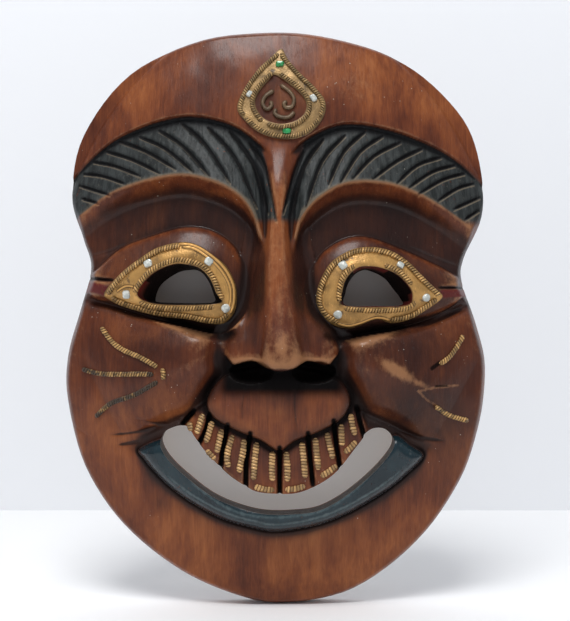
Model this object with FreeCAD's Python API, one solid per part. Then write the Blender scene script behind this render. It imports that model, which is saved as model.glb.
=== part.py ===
"""Carved wooden wall mask: a grinning face with gilt bead trim, glass chips and a sawtooth hanger.

Frame: +Z is up, -Y is the way the face looks, the back rim lies on the plane y = 0 against the wall.
The origin is the point where the wall nail bears in the hanger.  All lengths are millimetres.

The face is drawn once as a pattern: x across, v up from the middle of the face, and a relief height
above the wall.  The pattern is stretched to the driving sizes below; trim keeps its own true sizes.
"""
import FreeCAD, Part
import math
import os
from bisect import bisect_right

V = FreeCAD.Vector

# ---- driving dimensions -------------------------------------------------------------------------
FACE_WIDTH = 214.0          # widest, across the cheeks
FACE_HEIGHT = 291.0         # chin to crown
RELIEF_DEPTH = 52.5         # wall to nose tip
HANG_HEIGHT = 105.0         # hanging point above the middle of the face, before stretching
PATTERN_DEPTH = 52.5        # wall to nose tip, before stretching

WALL = 8.0                  # least wood left behind the carving
RIM_BAND = 13.0             # flat back rim that lies on the wall
HOLLOW_DEPTH = 23.0         # depth of the gouged back at the middle
HOLLOW_HALF_WIDTH = 112.0   # where its bowl would run out to the sides, before stretching
HOLLOW_HALF_HEIGHT = 150.0  # and up and down
NOSE_HOLLOW = 8.0           # extra depth behind the nose

GLUE_GAP = 0.1              # glue line under every applied piece
JOIN_GAP = 0.5              # gap where two bead strips meet
PLATE_THICKNESS = 0.9       # gilt sheet round the eyes and on the forehead

EYE_BEAD_WIDTH = 2.1
TOOTH_BEAD_WIDTH = 2.4
WHISKER_BEAD_WIDTH = 2.3
CREST_BEAD_WIDTH = 1.9
BEAD_HEIGHT = 1.5           # how far a bead strip stands up from its seat
SCROLL_WIDTH = 1.7
CHIP_HEIGHT = 1.3

HANGER_LENGTH = 46.0
HANGER_WIDTH = 9.0
HANGER_SHEET = 1.0
HANGER_STANDOFF = 1.6       # the toothed edge stands this far off its pad, so a nail head fits behind
PAD_DEPTH = 5.0             # hanger pad below the plane of the rim
PAD_MARGIN = 8.0            # pad beyond each end of the hanger
PAD_WIDTH = 26.0
PAD_BLEND = 8.0             # width of the slope round the pad
BRAD_DIAMETER = 1.6
BRAD_HEAD = 3.4
BRAD_LENGTH = 7.0
BRAD_INSET = 4.0            # brad to the nearer end of the hanger
BRAD_CLEARANCE = 0.05

FRONT_SPACING = 1.6         # distance between control points of the carved front
BACK_SPACING = 4.0          # and of the gouged back
SEAT_SPACING = 1.2          # and of the gilt plates


# ---- small mathematics --------------------------------------------------------------------------
def clamp(t):
    return min(1.0, max(0.0, t))


def ramp(low, high, t):
    t = clamp((t - low) / (high - low))
    return t * t * (3 - 2 * t)


def bell(t):
    return math.exp(-t * t)


def root(t):
    return math.sqrt(max(t, 0.0))


def soft_max(a, b, k):
    t = clamp(0.5 + 0.5 * (a - b) / k)
    return b + (a - b) * t + k * t * (1 - t)


def soft_min(a, b, k):
    return -soft_max(-a, -b, k)


def spline(points, closed=False, steps=6):
    """Points along a smooth curve through the given points."""
    count = len(points)
    spans = count if closed else count - 1
    line = []
    for i in range(spans):
        if closed:
            near = [points[(i + k - 1) % count] for k in range(4)]
        else:
            near = [points[min(max(i + k - 1, 0), count - 1)] for k in range(4)]
        for s in range(steps):
            t = s / steps
            weights = (-t + 2 * t ** 2 - t ** 3, 2 - 5 * t ** 2 + 3 * t ** 3,
                       t + 4 * t ** 2 - 3 * t ** 3, -t ** 2 + t ** 3)
            line.append(tuple(0.5 * sum(w * p[axis] for w, p in zip(weights, near)) for axis in (0, 1)))
    if not closed:
        line.append(tuple(points[-1]))
    return line


def along(line, t):
    """Second value of a line of rising pairs where the first value is t."""
    if t <= line[0][0]:
        return line[0][1]
    if t >= line[-1][0]:
        return line[-1][1]
    i = bisect_right(line, (t, math.inf))
    a, b = line[i - 1], line[i]
    return a[1] + (b[1] - a[1]) * (t - a[0]) / (b[0] - a[0])


def place_on(line, x, v):
    """Distance to an open line, and the share of its length at the nearest place."""
    best, place, run = math.inf, 0.0, 0.0
    for (ax, av), (bx, bv) in zip(line, line[1:]):
        ex, ev = bx - ax, bv - av
        length = math.hypot(ex, ev)
        t = clamp(((x - ax) * ex + (v - av) * ev) / (length * length))
        gap = (x - ax - t * ex) ** 2 + (v - av - t * ev) ** 2
        if gap < best:
            best, place = gap, run + t * length
        run += length
    return math.sqrt(best), place / run


def inside(loop, x, v):
    """Distance to a closed line, positive inside it."""
    odd = False
    for (ax, av), (bx, bv) in zip(loop, loop[1:] + loop[:1]):
        if (av > v) != (bv > v) and x < ax + (v - av) * (bx - ax) / (bv - av):
            odd = not odd
    gap = place_on(loop + loop[:1], x, v)[0]
    return gap if odd else -gap


# ---- the drawing of the face, in pattern millimetres -------------------------------------------
OUTLINE = spline([(3, 145), (-38, 141), (-75, 124), (-99, 93), (-105, 62), (-99, 40), (-95, 25), (-100, 5),
                  (-107, -20), (-107, -42), (-98, -76), (-78, -106), (-49, -129), (-19, -142), (6, -145.5),
                  (39, -138), (71, -114), (93, -83), (103, -53), (106, -25), (101, -3), (94, 18), (95, 30),
                  (104, 51), (104, 75), (95, 101), (70, 126), (40, 139)], closed=True)
BROW_TOP = spline([(-112, 62), (-99, 77), (-79, 92), (-49, 101), (-24, 97), (-7, 85), (-1, 77), (3, 77),
                   (13, 88), (33, 97), (58, 94), (84, 84), (102, 71), (112, 60)])
BROW_RIDGE = spline([(-112, 44), (-99, 51), (-80, 63), (-51, 70), (-32, 67), (-19, 60), (-12, 51), (-8, 40),
                     (0, 30), (8, 38), (12, 49), (21, 59), (35, 66), (54, 66), (72, 60), (92, 48), (112, 32)])
LEFT_LID = spline([(-97, 17), (-90, 25), (-78, 35), (-62, 41), (-46, 45), (-32, 43), (-20, 34), (-14, 20),
                   (-14, 8), (-19, -2), (-29, -8), (-45, -5), (-62, -1), (-80, 5), (-92, 9)], closed=True)
RIGHT_LID = spline([(96, 15), (88, 22), (76, 28), (60, 35), (45, 40), (33, 39), (21, 31), (14, 18), (13, 5),
                    (19, -5), (28, -11), (44, -9), (60, -6), (76, -1), (90, 7)], closed=True)
LEFT_CHEEK = spline([(-86, -42), (-70, -34), (-54, -27), (-40, -19), (-26, -10)])
RIGHT_CHEEK = spline([(29, -11), (44, -22), (60, -30), (74, -36), (88, -44)])
LEFT_CREASE = spline([(-22, -8), (-29, -9), (-41, -6), (-51, -2), (-69, 2), (-84, 7), (-106, 9)])
RIGHT_CREASE = spline([(24, -9), (33, -11), (48, -7), (60, -6), (76, -2), (89, 3), (104, 8)])
LEFT_FOLD = spline([(-27, -8), (-29, -18), (-28, -28), (-33, -38), (-42, -49), (-54, -54), (-68, -61),
                    (-82, -66)])
RIGHT_FOLD = spline([(29, -9), (32, -18), (33, -28), (38, -39), (45, -49), (57, -54), (70, -61), (84, -66)])
LEFT_CORNER = spline([(-110, 21), (-80, 18)])
RIGHT_CORNER = spline([(80, 14.5), (110, 15)])
GUM = spline([(-46, -50), (-45, -57), (-36, -67), (-23, -79), (-10, -87), (4, -88.5), (18, -86), (30, -77),
              (39, -66), (44, -58), (41, -48), (30, -40), (0, -34), (-30, -40)], closed=True)
MUZZLE = spline([(-20, -26), (-29, -31), (-34.5, -41), (-31, -49), (-20, -55), (-8, -60), (1, -65), (9, -60),
                 (20, -56), (31, -50), (36, -41), (31, -31), (18, -26), (0, -24)], closed=True)
LOWER_LIP = spline([(-69, -65.5), (-66, -71), (-62, -76), (-54, -84), (-43, -92), (-28, -100), (-13, -104.5),
                    (-1, -106.5), (17, -104), (34, -98), (52, -88), (65, -78), (73, -69), (66, -63), (58, -58),
                    (50, -66), (36, -80), (20, -90), (-2, -93), (-22, -89), (-42, -74), (-53, -62), (-58, -60)],
                   closed=True)
NOSE_CREST = spline([(-50, 53), (-22, 51.5), (-10, 49.5), (5, 45), (20, 41.5), (35, 38.5), (50, 36.5),
                     (66, 35), (84, 31)])
NOSE_HALF = spline([(-50, 31), (-24, 31), (-15, 30), (-6, 25.5), (4, 21), (14, 17.5), (26, 15), (38, 13),
                    (50, 12), (66, 13), (84, 15)])
NOSE_LEAN = spline([(-50, 3), (-20, 2.5), (0, 1.5), (30, 0), (84, 1)])
NOSE_BRIDGE = spline([(0, 1), (0.2, 0.96), (0.32, 0.84), (0.6, 0.46), (0.82, 0.17), (1.0, 0), (1.2, 0)])
NOSE_WINGS = spline([(0, 1), (0.22, 0.95), (0.36, 0.74), (0.5, 0.6), (0.7, 0.56), (0.86, 0.43), (0.96, 0.2),
                     (1.04, 0), (1.2, 0)])
NOSE_BOTTOM = spline([(-44, -12), (-33, -12), (-29, -14), (-24, -20), (-20, -23), (-12, -21), (-7, -24),
                      (2, -25.5), (9, -24), (15, -21), (23, -24), (29, -19), (33, -13), (44, -12)])
NOSTRILS = [(-12.5, -26.5), (18, -26.5)]
TOOTH_GAPS = [[(-33, -49), (-35, -55), (-38.5, -61)], [(-24, -54), (-26.5, -64), (-28, -73)],
              [(-13, -58), (-15, -70), (-15.5, -81)], [(1.2, -65), (1.2, -87)],
              [(15, -58), (16, -68), (17.5, -80)], [(27.5, -52), (29, -62), (31, -73)]]

# openings: (edge at the front, edge at the back)
LEFT_EYE_HOLE = ([(-69, 11), (-65, 18), (-59, 23), (-51, 26), (-45, 26), (-38, 24), (-33, 19), (-30, 12),
                  (-28, 7), (-47, 6), (-62, 7)],
                 [(-61, 9), (-59, 15), (-55, 19), (-49, 22.5), (-44, 23.5), (-39, 23), (-35, 19), (-32, 12),
                  (-32, 7.5), (-46, 7), (-59, 7.5)])
RIGHT_EYE_HOLE = ([(32, 6), (32, 13), (34, 19), (39, 24), (45, 25), (52, 24), (59, 21), (65, 15), (66.5, 10),
                   (64, 6), (49, 5)],
                  [(34, 6), (34, 12), (35.5, 17), (39, 21.5), (43.5, 23.5), (49, 22), (54, 19), (58, 14),
                   (61.5, 9.5), (62, 6), (49, 5.5)])
EYE_FRONT, EYE_BACK = 28.0, 19.0        # heights at which those edges are drawn
MOUTH_SLOT = [(-44, -54), (-40.5, -59), (-36, -65), (-29, -72.5), (-23, -78), (-16, -82.5), (-10, -85.5),
              (-1, -86.5), (8, -86.5), (15, -84.5), (23, -80.5), (30, -75), (38, -65), (42, -60), (44, -57),
              (48, -55), (53.5, -55.5), (57.5, -60), (56, -66), (47.5, -76), (34.5, -87), (21, -94.5),
              (8, -96.5), (-6, -96.5), (-19, -93.5), (-32.5, -87.5), (-46, -77), (-54, -69), (-57.5, -62),
              (-56, -57), (-51.5, -54.5), (-47, -53.5)]


def dome(x, v):
    return 7 + 24 * root(1 - (x / 116) ** 2 - (v / 154) ** 2) ** 1.3


def brows(x, v, base):
    """Forehead, sunk brow band rising to a ridge, and the eye socket under it."""
    side = ramp(3, 12, abs(x - 1))
    outer = ramp(55, 108, abs(x))
    edge = along(BROW_TOP, x)
    ridge = along(BROW_RIDGE, x)
    across = clamp((edge - v) / (edge - ridge))
    step = (4.2 - 2.0 * outer) * ramp(-0.4, 1.8, edge - v)
    brow = base - step * side + (10.5 - 5.0 * outer) * across ** 1.3 * side
    under = ridge - v
    floor = base - 7.0 + 4.0 * outer
    socket = floor + (brow - floor) * (1 - ramp(-2.5, 11.0 + 3 * outer, under))
    return brow + (socket - brow) * ramp(-1.0, 1.5, under) * side


def cheek(crest, x, v):
    gap, share = place_on(crest, x, v)
    if crest is LEFT_CHEEK:
        share = 1 - share
    spread = 21.0 + 4.0 * ramp(-6, 6, v - along(crest, x))
    return (9.0 + 26.0 * share * (1 - share) - 6.0 * share) * bell(gap / spread)


def mouth(x, v, h):
    """Gum with the teeth, muzzle lobe and the round lower lip."""
    gum = 34.0 - 0.0030 * x * x - 0.004 * (v + 60) ** 2
    for gap in TOOTH_GAPS:
        gum -= 2.2 * bell(place_on(gap, x, v)[0] / 1.1)
    h += (gum - h) * ramp(-1.5, 1.5, inside(GUM, x, v))
    lobe = 32.5 + 6.5 * root(1 - (x / 42) ** 2 - ((v + 40) / 34) ** 2) + bell((x + 5) / 12)
    depth = inside(MUZZLE, x, v)
    h += (lobe + 1.8 * root(clamp(depth / 6)) - h) * ramp(-0.5, 1.0, depth)
    depth = inside(LOWER_LIP, x, v)
    lip = dome(x, v) - 0.5 + 9.0 * root(1 - (1 - clamp(depth / 6.5)) ** 2) - 0.12 * max(depth - 7, 0)
    return h + (soft_max(h, lip, 0.6) - h) * ramp(-0.4, 0.2, depth)


def nose(x, v, base, h):
    across = abs(x - along(NOSE_LEAN, v)) / along(NOSE_HALF, v)
    if across < 1.3 and v < 90:
        wing = ramp(6, -14, v)
        profile = along(NOSE_BRIDGE, across) * (1 - wing) + along(NOSE_WINGS, across) * wing
        low = base - 4 - 3 * ramp(10, 60, v)
        top = low + (along(NOSE_CREST, v) - low) * profile
        top += 1.2 * bell((x - 2.5) / 7) * bell((v + 17) / 9) * wing
        top -= 60 * (1 - ramp(-4.5, 0.8, v - along(NOSE_BOTTOM, x)))
        h += (soft_max(h, top, 2.0) - h) * ramp(90, 60, v)
    for cx, cv in NOSTRILS:
        h -= 11 * root(1 - ((x - cx) / 10.5) ** 2 - ((v - cv) / 5.5) ** 2)
    return h


def relief(x, v):
    """Height of the carved front above the wall."""
    base = dome(x, v)
    h = brows(x, v, base)
    h += (base - h) * ramp(14, -16, v)
    h += cheek(LEFT_CHEEK, x, v) + cheek(RIGHT_CHEEK, x, v)
    for lid, middle in ((LEFT_LID, -50), (RIGHT_LID, 48)):
        if middle * x > 0 and -16 < v < 50:
            depth = inside(lid, x, v)
            ball = 0.6 * base + 0.4 * dome(middle, 14) - 7.0 + 9.0 * root(clamp(depth / 14))
            h += (ball + ramp(-0.3, 1.0, depth) - h) * ramp(-0.6, 0.8, depth)
    for crease in (LEFT_CREASE, RIGHT_CREASE):
        h -= 3.0 * bell(place_on(crease, x, v)[0] / 2.4)
    for fold in (LEFT_FOLD, RIGHT_FOLD):
        gap, share = place_on(fold, x, v)
        h -= 6.0 * (1 - share ** 3) * bell(gap / 6.0)
    if abs(x) < 82 and -112 < v < -20:
        h = mouth(x, v, h)
    h = nose(x, v, base, h)
    for corner in (LEFT_CORNER, RIGHT_CORNER):
        h -= 2.0 * bell(place_on(corner, x, v)[0] / 1.3)
    return soft_min(h, 8.5 + 3.0 * max(inside(OUTLINE, x, v), -2), 3.0)


# ---- pattern to real size -----------------------------------------------------------------------
def span(line, axis):
    values = [point[axis] for point in line]
    return max(values) - min(values)


ACROSS = FACE_WIDTH / span(OUTLINE, 0)
UP = FACE_HEIGHT / span(OUTLINE, 1)
OUT = RELIEF_DEPTH / PATTERN_DEPTH


def real(point):
    """A pattern point in real x and z."""
    return point[0] * ACROSS, (point[1] - HANG_HEIGHT) * UP


def height(x, z):
    """Real height of the carved front above the wall at real x and z."""
    return OUT * relief(x / ACROSS, z / UP + HANG_HEIGHT)


def gouge(x, z):
    """Real depth of the hollow in the back at real x and z."""
    px, pv = x / ACROSS, z / UP + HANG_HEIGHT
    bowl = HOLLOW_DEPTH * root(1 - (px / HOLLOW_HALF_WIDTH) ** 2 - (pv / HOLLOW_HALF_HEIGHT) ** 2)
    bowl += NOSE_HOLLOW * bell((px - 2) / 16) * bell((pv + 2) / 26)
    depth = soft_min(bowl, height(x, z) - WALL, 3.0)
    pad_end = HANGER_LENGTH / 2 + PAD_MARGIN
    on_pad = ramp(pad_end + PAD_BLEND, pad_end, abs(x))
    on_pad *= ramp(PAD_WIDTH / 2 + PAD_BLEND, PAD_WIDTH / 2, abs(z))
    return depth + (PAD_DEPTH - depth) * on_pad


def normal(seat, x, z):
    """Outward direction of a seat surface y = -seat(x, z)."""
    e = 0.4
    across = (seat(x + e, z) - seat(x - e, z)) / (2 * e)
    up = (seat(x, z + e) - seat(x, z - e)) / (2 * e)
    return V(-across, -1, -up).normalize()


# ---- solids -------------------------------------------------------------------------------------
def surface(depth, low, high, spacing):
    """Smooth face y = -depth(x, z) over a rectangle."""
    degree = 3

    def knots(a, b):
        spans = max(4, int((b - a) / spacing))
        values = [a + (b - a) * i / spans for i in range(spans + 1)]
        counts = [degree + 1] + [1] * (spans - 1) + [degree + 1]
        flat = [value for value, count in zip(values, counts) for _ in range(count)]
        sites = [sum(flat[i + 1:i + 1 + degree]) / degree for i in range(spans + degree)]
        return values, counts, sites

    x_knots, x_counts, x_sites = knots(low[0], high[0])
    z_knots, z_counts, z_sites = knots(low[1], high[1])
    poles = [[V(x, -depth(x, z), z) for z in z_sites] for x in x_sites]
    sheet = Part.BSplineSurface()
    sheet.buildFromPolesMultsKnots(poles, x_counts, z_counts, x_knots, z_knots, False, False, degree, degree)
    return sheet.toShape()


def loop_wire(points, y):
    """Smooth closed wire through real (x, z) points on the plane y."""
    curve = Part.BSplineCurve()
    curve.interpolate([V(x, y, z) for x, z in points], PeriodicFlag=True)
    return Part.Wire([curve.toShape()])


def corner_wire(points, y):
    """Closed wire of straight runs through real (x, z) points on the plane y."""
    corners = [V(x, y, z) for x, z in points]
    return Part.makePolygon(corners + corners[:1])


def prism(wires, y_start, y_end):
    """Solid between two planes of constant y, with the first wire outside and the rest as holes."""
    face = Part.Face(wires, "Part::FaceMakerBullseye") if len(wires) > 1 else Part.Face(wires[0])
    face.translate(V(0, y_start, 0))
    return face.extrude(V(0, y_end - y_start, 0))


def box_of(points, margin):
    xs = [p[0] for p in points]
    zs = [p[1] for p in points]
    return (min(xs) - margin, min(zs) - margin), (max(xs) + margin, max(zs) + margin)


def layers(block, sheets):
    """Pieces of a block split by surfaces, from the wall outward."""
    split = block.generalFuse(sheets, 0.0)[0]
    return sorted(split.Solids, key=lambda solid: -solid.CenterOfMass.y)


def slab(outer, holes, low, high):
    """Curved sheet between two heights, within an outline with holes."""
    corner_a, corner_b = box_of(outer, 3.0)
    wires = [corner_wire(outer, 0)] + [loop_wire(hole, 0) for hole in holes]
    sheets = [surface(depth, corner_a, corner_b, SEAT_SPACING) for depth in (low, high)]
    return layers(prism(wires, 0, -2 * RELIEF_DEPTH), sheets)[1]


def shifted(seat, lift):
    return lambda x, z: seat(x, z) + lift


def resampled(line, spacing):
    """Evenly spaced real points along a real open line."""
    lengths = [math.dist(a, b) for a, b in zip(line, line[1:])]
    total = sum(lengths)
    count = max(3, int(total / spacing) + 1)
    points = []
    for i in range(count):
        rest = total * i / (count - 1)
        for (a, b), length in zip(zip(line, line[1:]), lengths):
            if rest <= length + 1e-9:
                share = rest / length
                points.append((a[0] + (b[0] - a[0]) * share, a[1] + (b[1] - a[1]) * share))
                break
            rest -= length
    return points


def trimmed(line, start, end):
    """A real line with lengths cut off its two ends."""
    spacing = 0.25
    points = resampled(line, spacing)
    drop_start = int(round(start / spacing))
    drop_end = int(round(end / spacing))
    return points[drop_start:len(points) - drop_end]


def strip(line, width, rise, seat, spacing=1.6):
    """Half-round strip laid along a real (x, z) line on a seat surface."""
    centres = resampled(line, spacing)
    sections = []
    for i, (x, z) in enumerate(centres):
        a = centres[max(i - 1, 0)]
        b = centres[min(i + 1, len(centres) - 1)]
        length = math.dist(a, b)
        side = ((b[1] - a[1]) / length, -(b[0] - a[0]) / length)
        corners = []
        for angle in (0, 40, 90, 140, 180):
            reach = 0.5 * width * math.cos(math.radians(angle))
            px, pz = x + side[0] * reach, z + side[1] * reach
            corners.append(V(px, -seat(px, pz) - rise * math.sin(math.radians(angle)), pz))
        sections.append(Part.makePolygon(corners + corners[:1]))
    return Part.makeLoft(sections, True, True)


def offset_line(line, distance):
    """A real open line moved sideways, to the left of its direction when positive."""
    moved = []
    for i, (x, z) in enumerate(line):
        a = line[max(i - 1, 0)]
        b = line[min(i + 1, len(line) - 1)]
        length = math.dist(a, b)
        moved.append((x - (b[1] - a[1]) / length * distance, z + (b[0] - a[0]) / length * distance))
    return moved


def square_chip(at, width, length, turn, seat):
    """Glass chip with a bevelled top, bedded square to its seat."""
    x, z = at
    out = normal(seat, x, z)
    across = V(math.cos(math.radians(turn)), 0, math.sin(math.radians(turn)))
    across = (across - out * across.dot(out)).normalize()
    up = out.cross(across)
    base = V(x, -seat(x, z), z)
    rings = []
    for rise, share in ((0.0, 1.0), (0.6 * CHIP_HEIGHT, 0.96), (CHIP_HEIGHT, 0.62)):
        corners = [base + out * rise + across * (0.5 * width * share * a) + up * (0.5 * length * share * b)
                   for a, b in ((-1, -1), (1, -1), (1, 1), (-1, 1))]
        rings.append(Part.makePolygon(corners + corners[:1]))
    return Part.makeLoft(rings, True, True)


def round_chip(at, diameter, seat):
    """Round cabochon."""
    x, z = at
    out = normal(seat, x, z)
    radius = 0.5 * diameter
    ball = (radius ** 2 + CHIP_HEIGHT ** 2) / (2 * CHIP_HEIGHT)
    centre = V(x, -seat(x, z), z) + out * (CHIP_HEIGHT - ball)
    return Part.makeSphere(ball, centre, out, math.degrees(math.asin((ball - CHIP_HEIGHT) / ball)), 90, 360)


# ---- mask body ----------------------------------------------------------------------------------
def slanted_hole(front, back):
    """Block that cuts an eye hole: its outline changes evenly from the back to the front."""
    def at(level):
        share = (level - EYE_BACK) / (EYE_FRONT - EYE_BACK)
        points = [(b[0] + (f[0] - b[0]) * share, b[1] + (f[1] - b[1]) * share) for f, b in zip(front, back)]
        return corner_wire([real(p) for p in spline(points, closed=True, steps=3)], -level * OUT)

    return Part.makeLoft([at(8.0), at(36.0)], True, True)


def inner_edge(distance):
    """Real outline moved inward."""
    points = [real(p) for p in OUTLINE]
    moved = []
    for i, (x, z) in enumerate(points):
        a, b = points[i - 3], points[(i + 3) % len(points)]
        length = math.dist(a, b)
        moved.append((x - (b[1] - a[1]) / length * distance, z + (b[0] - a[0]) / length * distance))
    return moved[::3]


def mask_body():
    outline = [real(p) for p in OUTLINE]
    low, high = box_of(outline, 4.0)
    front = surface(height, low, high, FRONT_SPACING)
    body = layers(prism([corner_wire(outline, 0)], 0, -2 * RELIEF_DEPTH), [front])[0]
    back = surface(gouge, low, high, BACK_SPACING)
    hollow = layers(prism([loop_wire(inner_edge(RIM_BAND), 0)], 1.0, -2 * RELIEF_DEPTH), [back])[0]
    body = body.cut(hollow)
    slot = corner_wire([real(p) for p in spline(MOUTH_SLOT, closed=True, steps=2)], 0)
    tools = [prism([slot], 1.0, -2 * RELIEF_DEPTH), slanted_hole(*LEFT_EYE_HOLE), slanted_hole(*RIGHT_EYE_HOLE)]
    body = body.cut(Part.makeCompound(tools + brad_holes()))
    return max(body.Solids, key=lambda solid: solid.Volume)


# ---- gilt plates and their beads ----------------------------------------------------------------
wood_seat = shifted(height, GLUE_GAP)
plate_top = shifted(height, GLUE_GAP + PLATE_THICKNESS)
plate_seat = shifted(height, 2 * GLUE_GAP + PLATE_THICKNESS)

LEFT_PLATE = [(-86, 12), (-77, 22), (-68, 29), (-59, 34.5), (-47, 37), (-39, 35.5), (-32, 31), (-25, 25),
              (-20.5, 16), (-20, 7), (-22, 1), (-27, -3.2), (-35, -3), (-45, -1), (-60, 0.6), (-77, 5.2), (-84, 8.6)]
RIGHT_PLATE = [(82, 10.5), (78, 14.3), (71.5, 20.7), (64.7, 27.7), (56.7, 32.7), (48, 34.6), (39, 34), (32, 31),
               (26, 26.5),
               (22, 20), (19.5, 13), (19.5, 6), (23, 0), (28, -4), (35, -5.5), (41, -4), (49, -1), (57, -3),
               (66, -1), (73, 3), (79, 7)]
# lines of the plate's edge or the opening's edge that the strips follow
LEFT_OUTER_UPPER = [(-85, 12), (-77, 21.5), (-68, 28.5), (-59, 34), (-48, 36.5)]
LEFT_OUTER_LOWER = [(-83, 8.6), (-77, 5.5), (-60, 0.9), (-45, -0.7), (-35, -2.7), (-28, -2.8), (-23.5, 0.5)]
LEFT_INNER_UPPER = [(-69.5, 11.5), (-65, 18.5), (-59, 23.5), (-51, 26.7), (-45, 26.7), (-38, 24.6),
                    (-32.6, 19.5), (-29.4, 12.2), (-27.6, 8.2)]
LEFT_INNER_LOWER = [(-67.5, 8.4), (-62, 6.2), (-47, 5.2), (-31, 6.1)]
RIGHT_OUTER_UPPER = [(81, 11.5), (77.5, 14.5), (71.5, 20.4), (64.7, 27.4), (56.7, 32.4), (48, 34.3), (39, 33.7),
                     (32.2, 30.7), (26.3, 26.2), (22.3, 19.8), (19.8, 13), (19.8, 6), (23.2, 0.3), (29, -3.6)]
RIGHT_OUTER_LOWER = [(56, -2.7), (66, -0.7), (73, 3.3), (79.5, 8)]
RIGHT_INNER_NOSE = [(31.6, 7.6), (31.4, 13), (33.4, 19.5), (38.6, 24.7)]
RIGHT_INNER_OUTER = [(52.4, 24.6), (59.4, 21.6), (65.4, 15.4)]
RIGHT_INNER_LOWER = [(33, 5.2), (49, 4.2), (63, 5.2), (67, 8.4)]

CREST_PLATE = [(2, 135), (-3, 130.5), (-8, 126), (-12, 121), (-17, 113), (-20, 104), (-16, 97.5), (-8, 91),
               (4, 88), (15, 90.5), (22.5, 98.5), (24, 107), (19, 114.5), (11.5, 122), (5.5, 129)]
CREST_OPENING = [(-1, 121), (7.5, 115), (13, 109.5), (14.5, 105), (13, 100.5), (9, 97.5), (4, 96), (-1, 96.3),
                 (-6.5, 98.6), (-10, 103), (-11, 107.5), (-9, 112.5), (-4.5, 118)]
CREST_LEFT_EDGE = [(-0.2, 133), (-7.5, 126), (-11.8, 121), (-16.8, 113), (-19.6, 104.5), (-17.5, 99.8)]
CREST_RIGHT_EDGE = [(2.6, 133), (5.2, 129), (11.2, 122), (18.7, 114.5), (23.6, 107), (22.4, 99.5)]
CREST_BOTTOM_EDGE = [(-16.4, 98), (-8, 91.4), (4, 88.4), (14.7, 90.9), (21.4, 97.6)]
CREST_INNER_LEFT = [(-1.6, 121.4), (-4.9, 118.4), (-9.6, 112.8), (-11.6, 107.5), (-10.5, 102.8), (-6.8, 98.1)]
CREST_INNER_RIGHT = [(0.6, 120.8), (7.9, 115.5), (13.5, 109.8), (15.1, 105), (13.4, 100.2), (9.2, 96.9),
                     (4, 95.4), (-1.2, 95.7), (-4.8, 96.9)]
SCROLLS = {
    "scroll_stem": [(1.5, 116), (6, 112.5), (8.3, 108.5), (7.3, 104.8), (4.4, 104.2), (3.2, 106.2),
                    (4.9, 107.4)],
    "scroll_foot": [(8.6, 102), (5.6, 99.3), (1.4, 99.4), (-1.3, 101.3), (-0.4, 103.6)],
    "scroll_side": [(-1.8, 113), (-6, 110), (-7.3, 106.3), (-5.2, 103.4), (-2.9, 105.2), (-3.6, 107.6)],
}

# chips: place, width, length (no length: a round cabochon), turn in degrees
LEFT_EYE_CHIPS = [((-63.5, 26.3), 4.0, 3.6, 20), ((-33.5, 27.2), 4.0, 3.8, -35), ((-74.5, 11.3), 3.5, 4.0, 5),
                  ((-25.2, 4.4), 4.0, None, 0)]
RIGHT_EYE_CHIPS = [((32.3, 25.3), 4.0, 4.0, 35), ((60.6, 25.7), 2.6, 3.6, 58), ((73.5, 9.6), 3.8, None, 0),
                   ((29.7, 1.3), 4.0, None, 0)]
CREST_CHIPS = [((1.2, 126.6), 4.2, 3.0, 0), ((4.6, 91.9), 4.2, 2.5, 0), ((-13.9, 111.1), 2.1, 3.2, -32),
               ((17.9, 108.95), 2.6, 3.6, 33)]

WHISKERS = {
    "left_whisker_upper": [(-88, -5), (-82, -12), (-76, -16), (-67, -19.5), (-58, -24)],
    "left_whisker_middle": [(-98, -26), (-89, -28), (-77, -28), (-68, -27.6), (-60, -27.6)],
    "left_whisker_lower": [(-91, -50), (-83, -43), (-70, -38), (-62, -33.5), (-58, -31.2)],
    "right_whisker_upper": [(93, -9), (90, -14), (85, -20), (80, -23)],
    "right_whisker_lower": [(78, -44), (86, -49), (96, -52)],
}
WHISKER_LINK = [(-55.8, -24.6), (-55, -27.5), (-55.4, -30.2)]

# teeth: side strips run down from the muzzle, bottom strips close them along the slot
TOOTH_STRIPS = {
    "tooth_1_left": [(-43.4, -51.5), (-42.6, -56)],
    "tooth_1_right": [(-36.6, -47.5), (-38.2, -52.5), (-39.6, -57.3)],
    "tooth_2_left": [(-31.9, -51), (-33.6, -57), (-35.2, -61.5)],
    "tooth_2_right": [(-27.1, -54.8), (-28.6, -61.5), (-29.6, -66.4)],
    "tooth_2_bottom": [(-34.8, -65.2), (-30.4, -69.8)],
    "tooth_3_left": [(-21.8, -57.5), (-23.8, -64), (-24.6, -69.6), (-23.6, -73.4)],
    "tooth_3_right": [(-16.3, -59.5), (-16.6, -65), (-18, -72), (-18.6, -76)],
    "tooth_4_left": [(-10, -61), (-11, -70), (-11.6, -79.6)],
    "tooth_4_right": [(-2.3, -65.6), (-2.6, -74), (-2.2, -80)],
    "tooth_4_bottom": [(-11.2, -82.9), (-6, -84.3), (-1.4, -84.6)],
    "tooth_5_left": [(4.4, -65.6), (5, -74), (5, -80.2)],
    "tooth_5_right": [(12, -61), (13, -70), (13.7, -78.6)],
    "tooth_5_bottom": [(4, -84.4), (9, -84), (13.7, -82.6)],
    "tooth_6_left": [(18.6, -59), (19.4, -67), (20.2, -74.6)],
    "tooth_6_right": [(24.3, -56.5), (26, -63.5), (27.4, -69.4)],
    "tooth_6_bottom": [(21.4, -78), (25, -75.9), (29.3, -72.7)],
    "tooth_7_left": [(31.4, -52.5), (31.6, -58.5), (32, -63)],
    "tooth_7_right": [(36, -47.5), (37.2, -54), (38.4, -58)],
    "tooth_7_bottom": [(33, -66.4), (36, -64.2), (38.8, -61)],
}


def real_line(points):
    return [real(p) for p in spline(points)]


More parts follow.
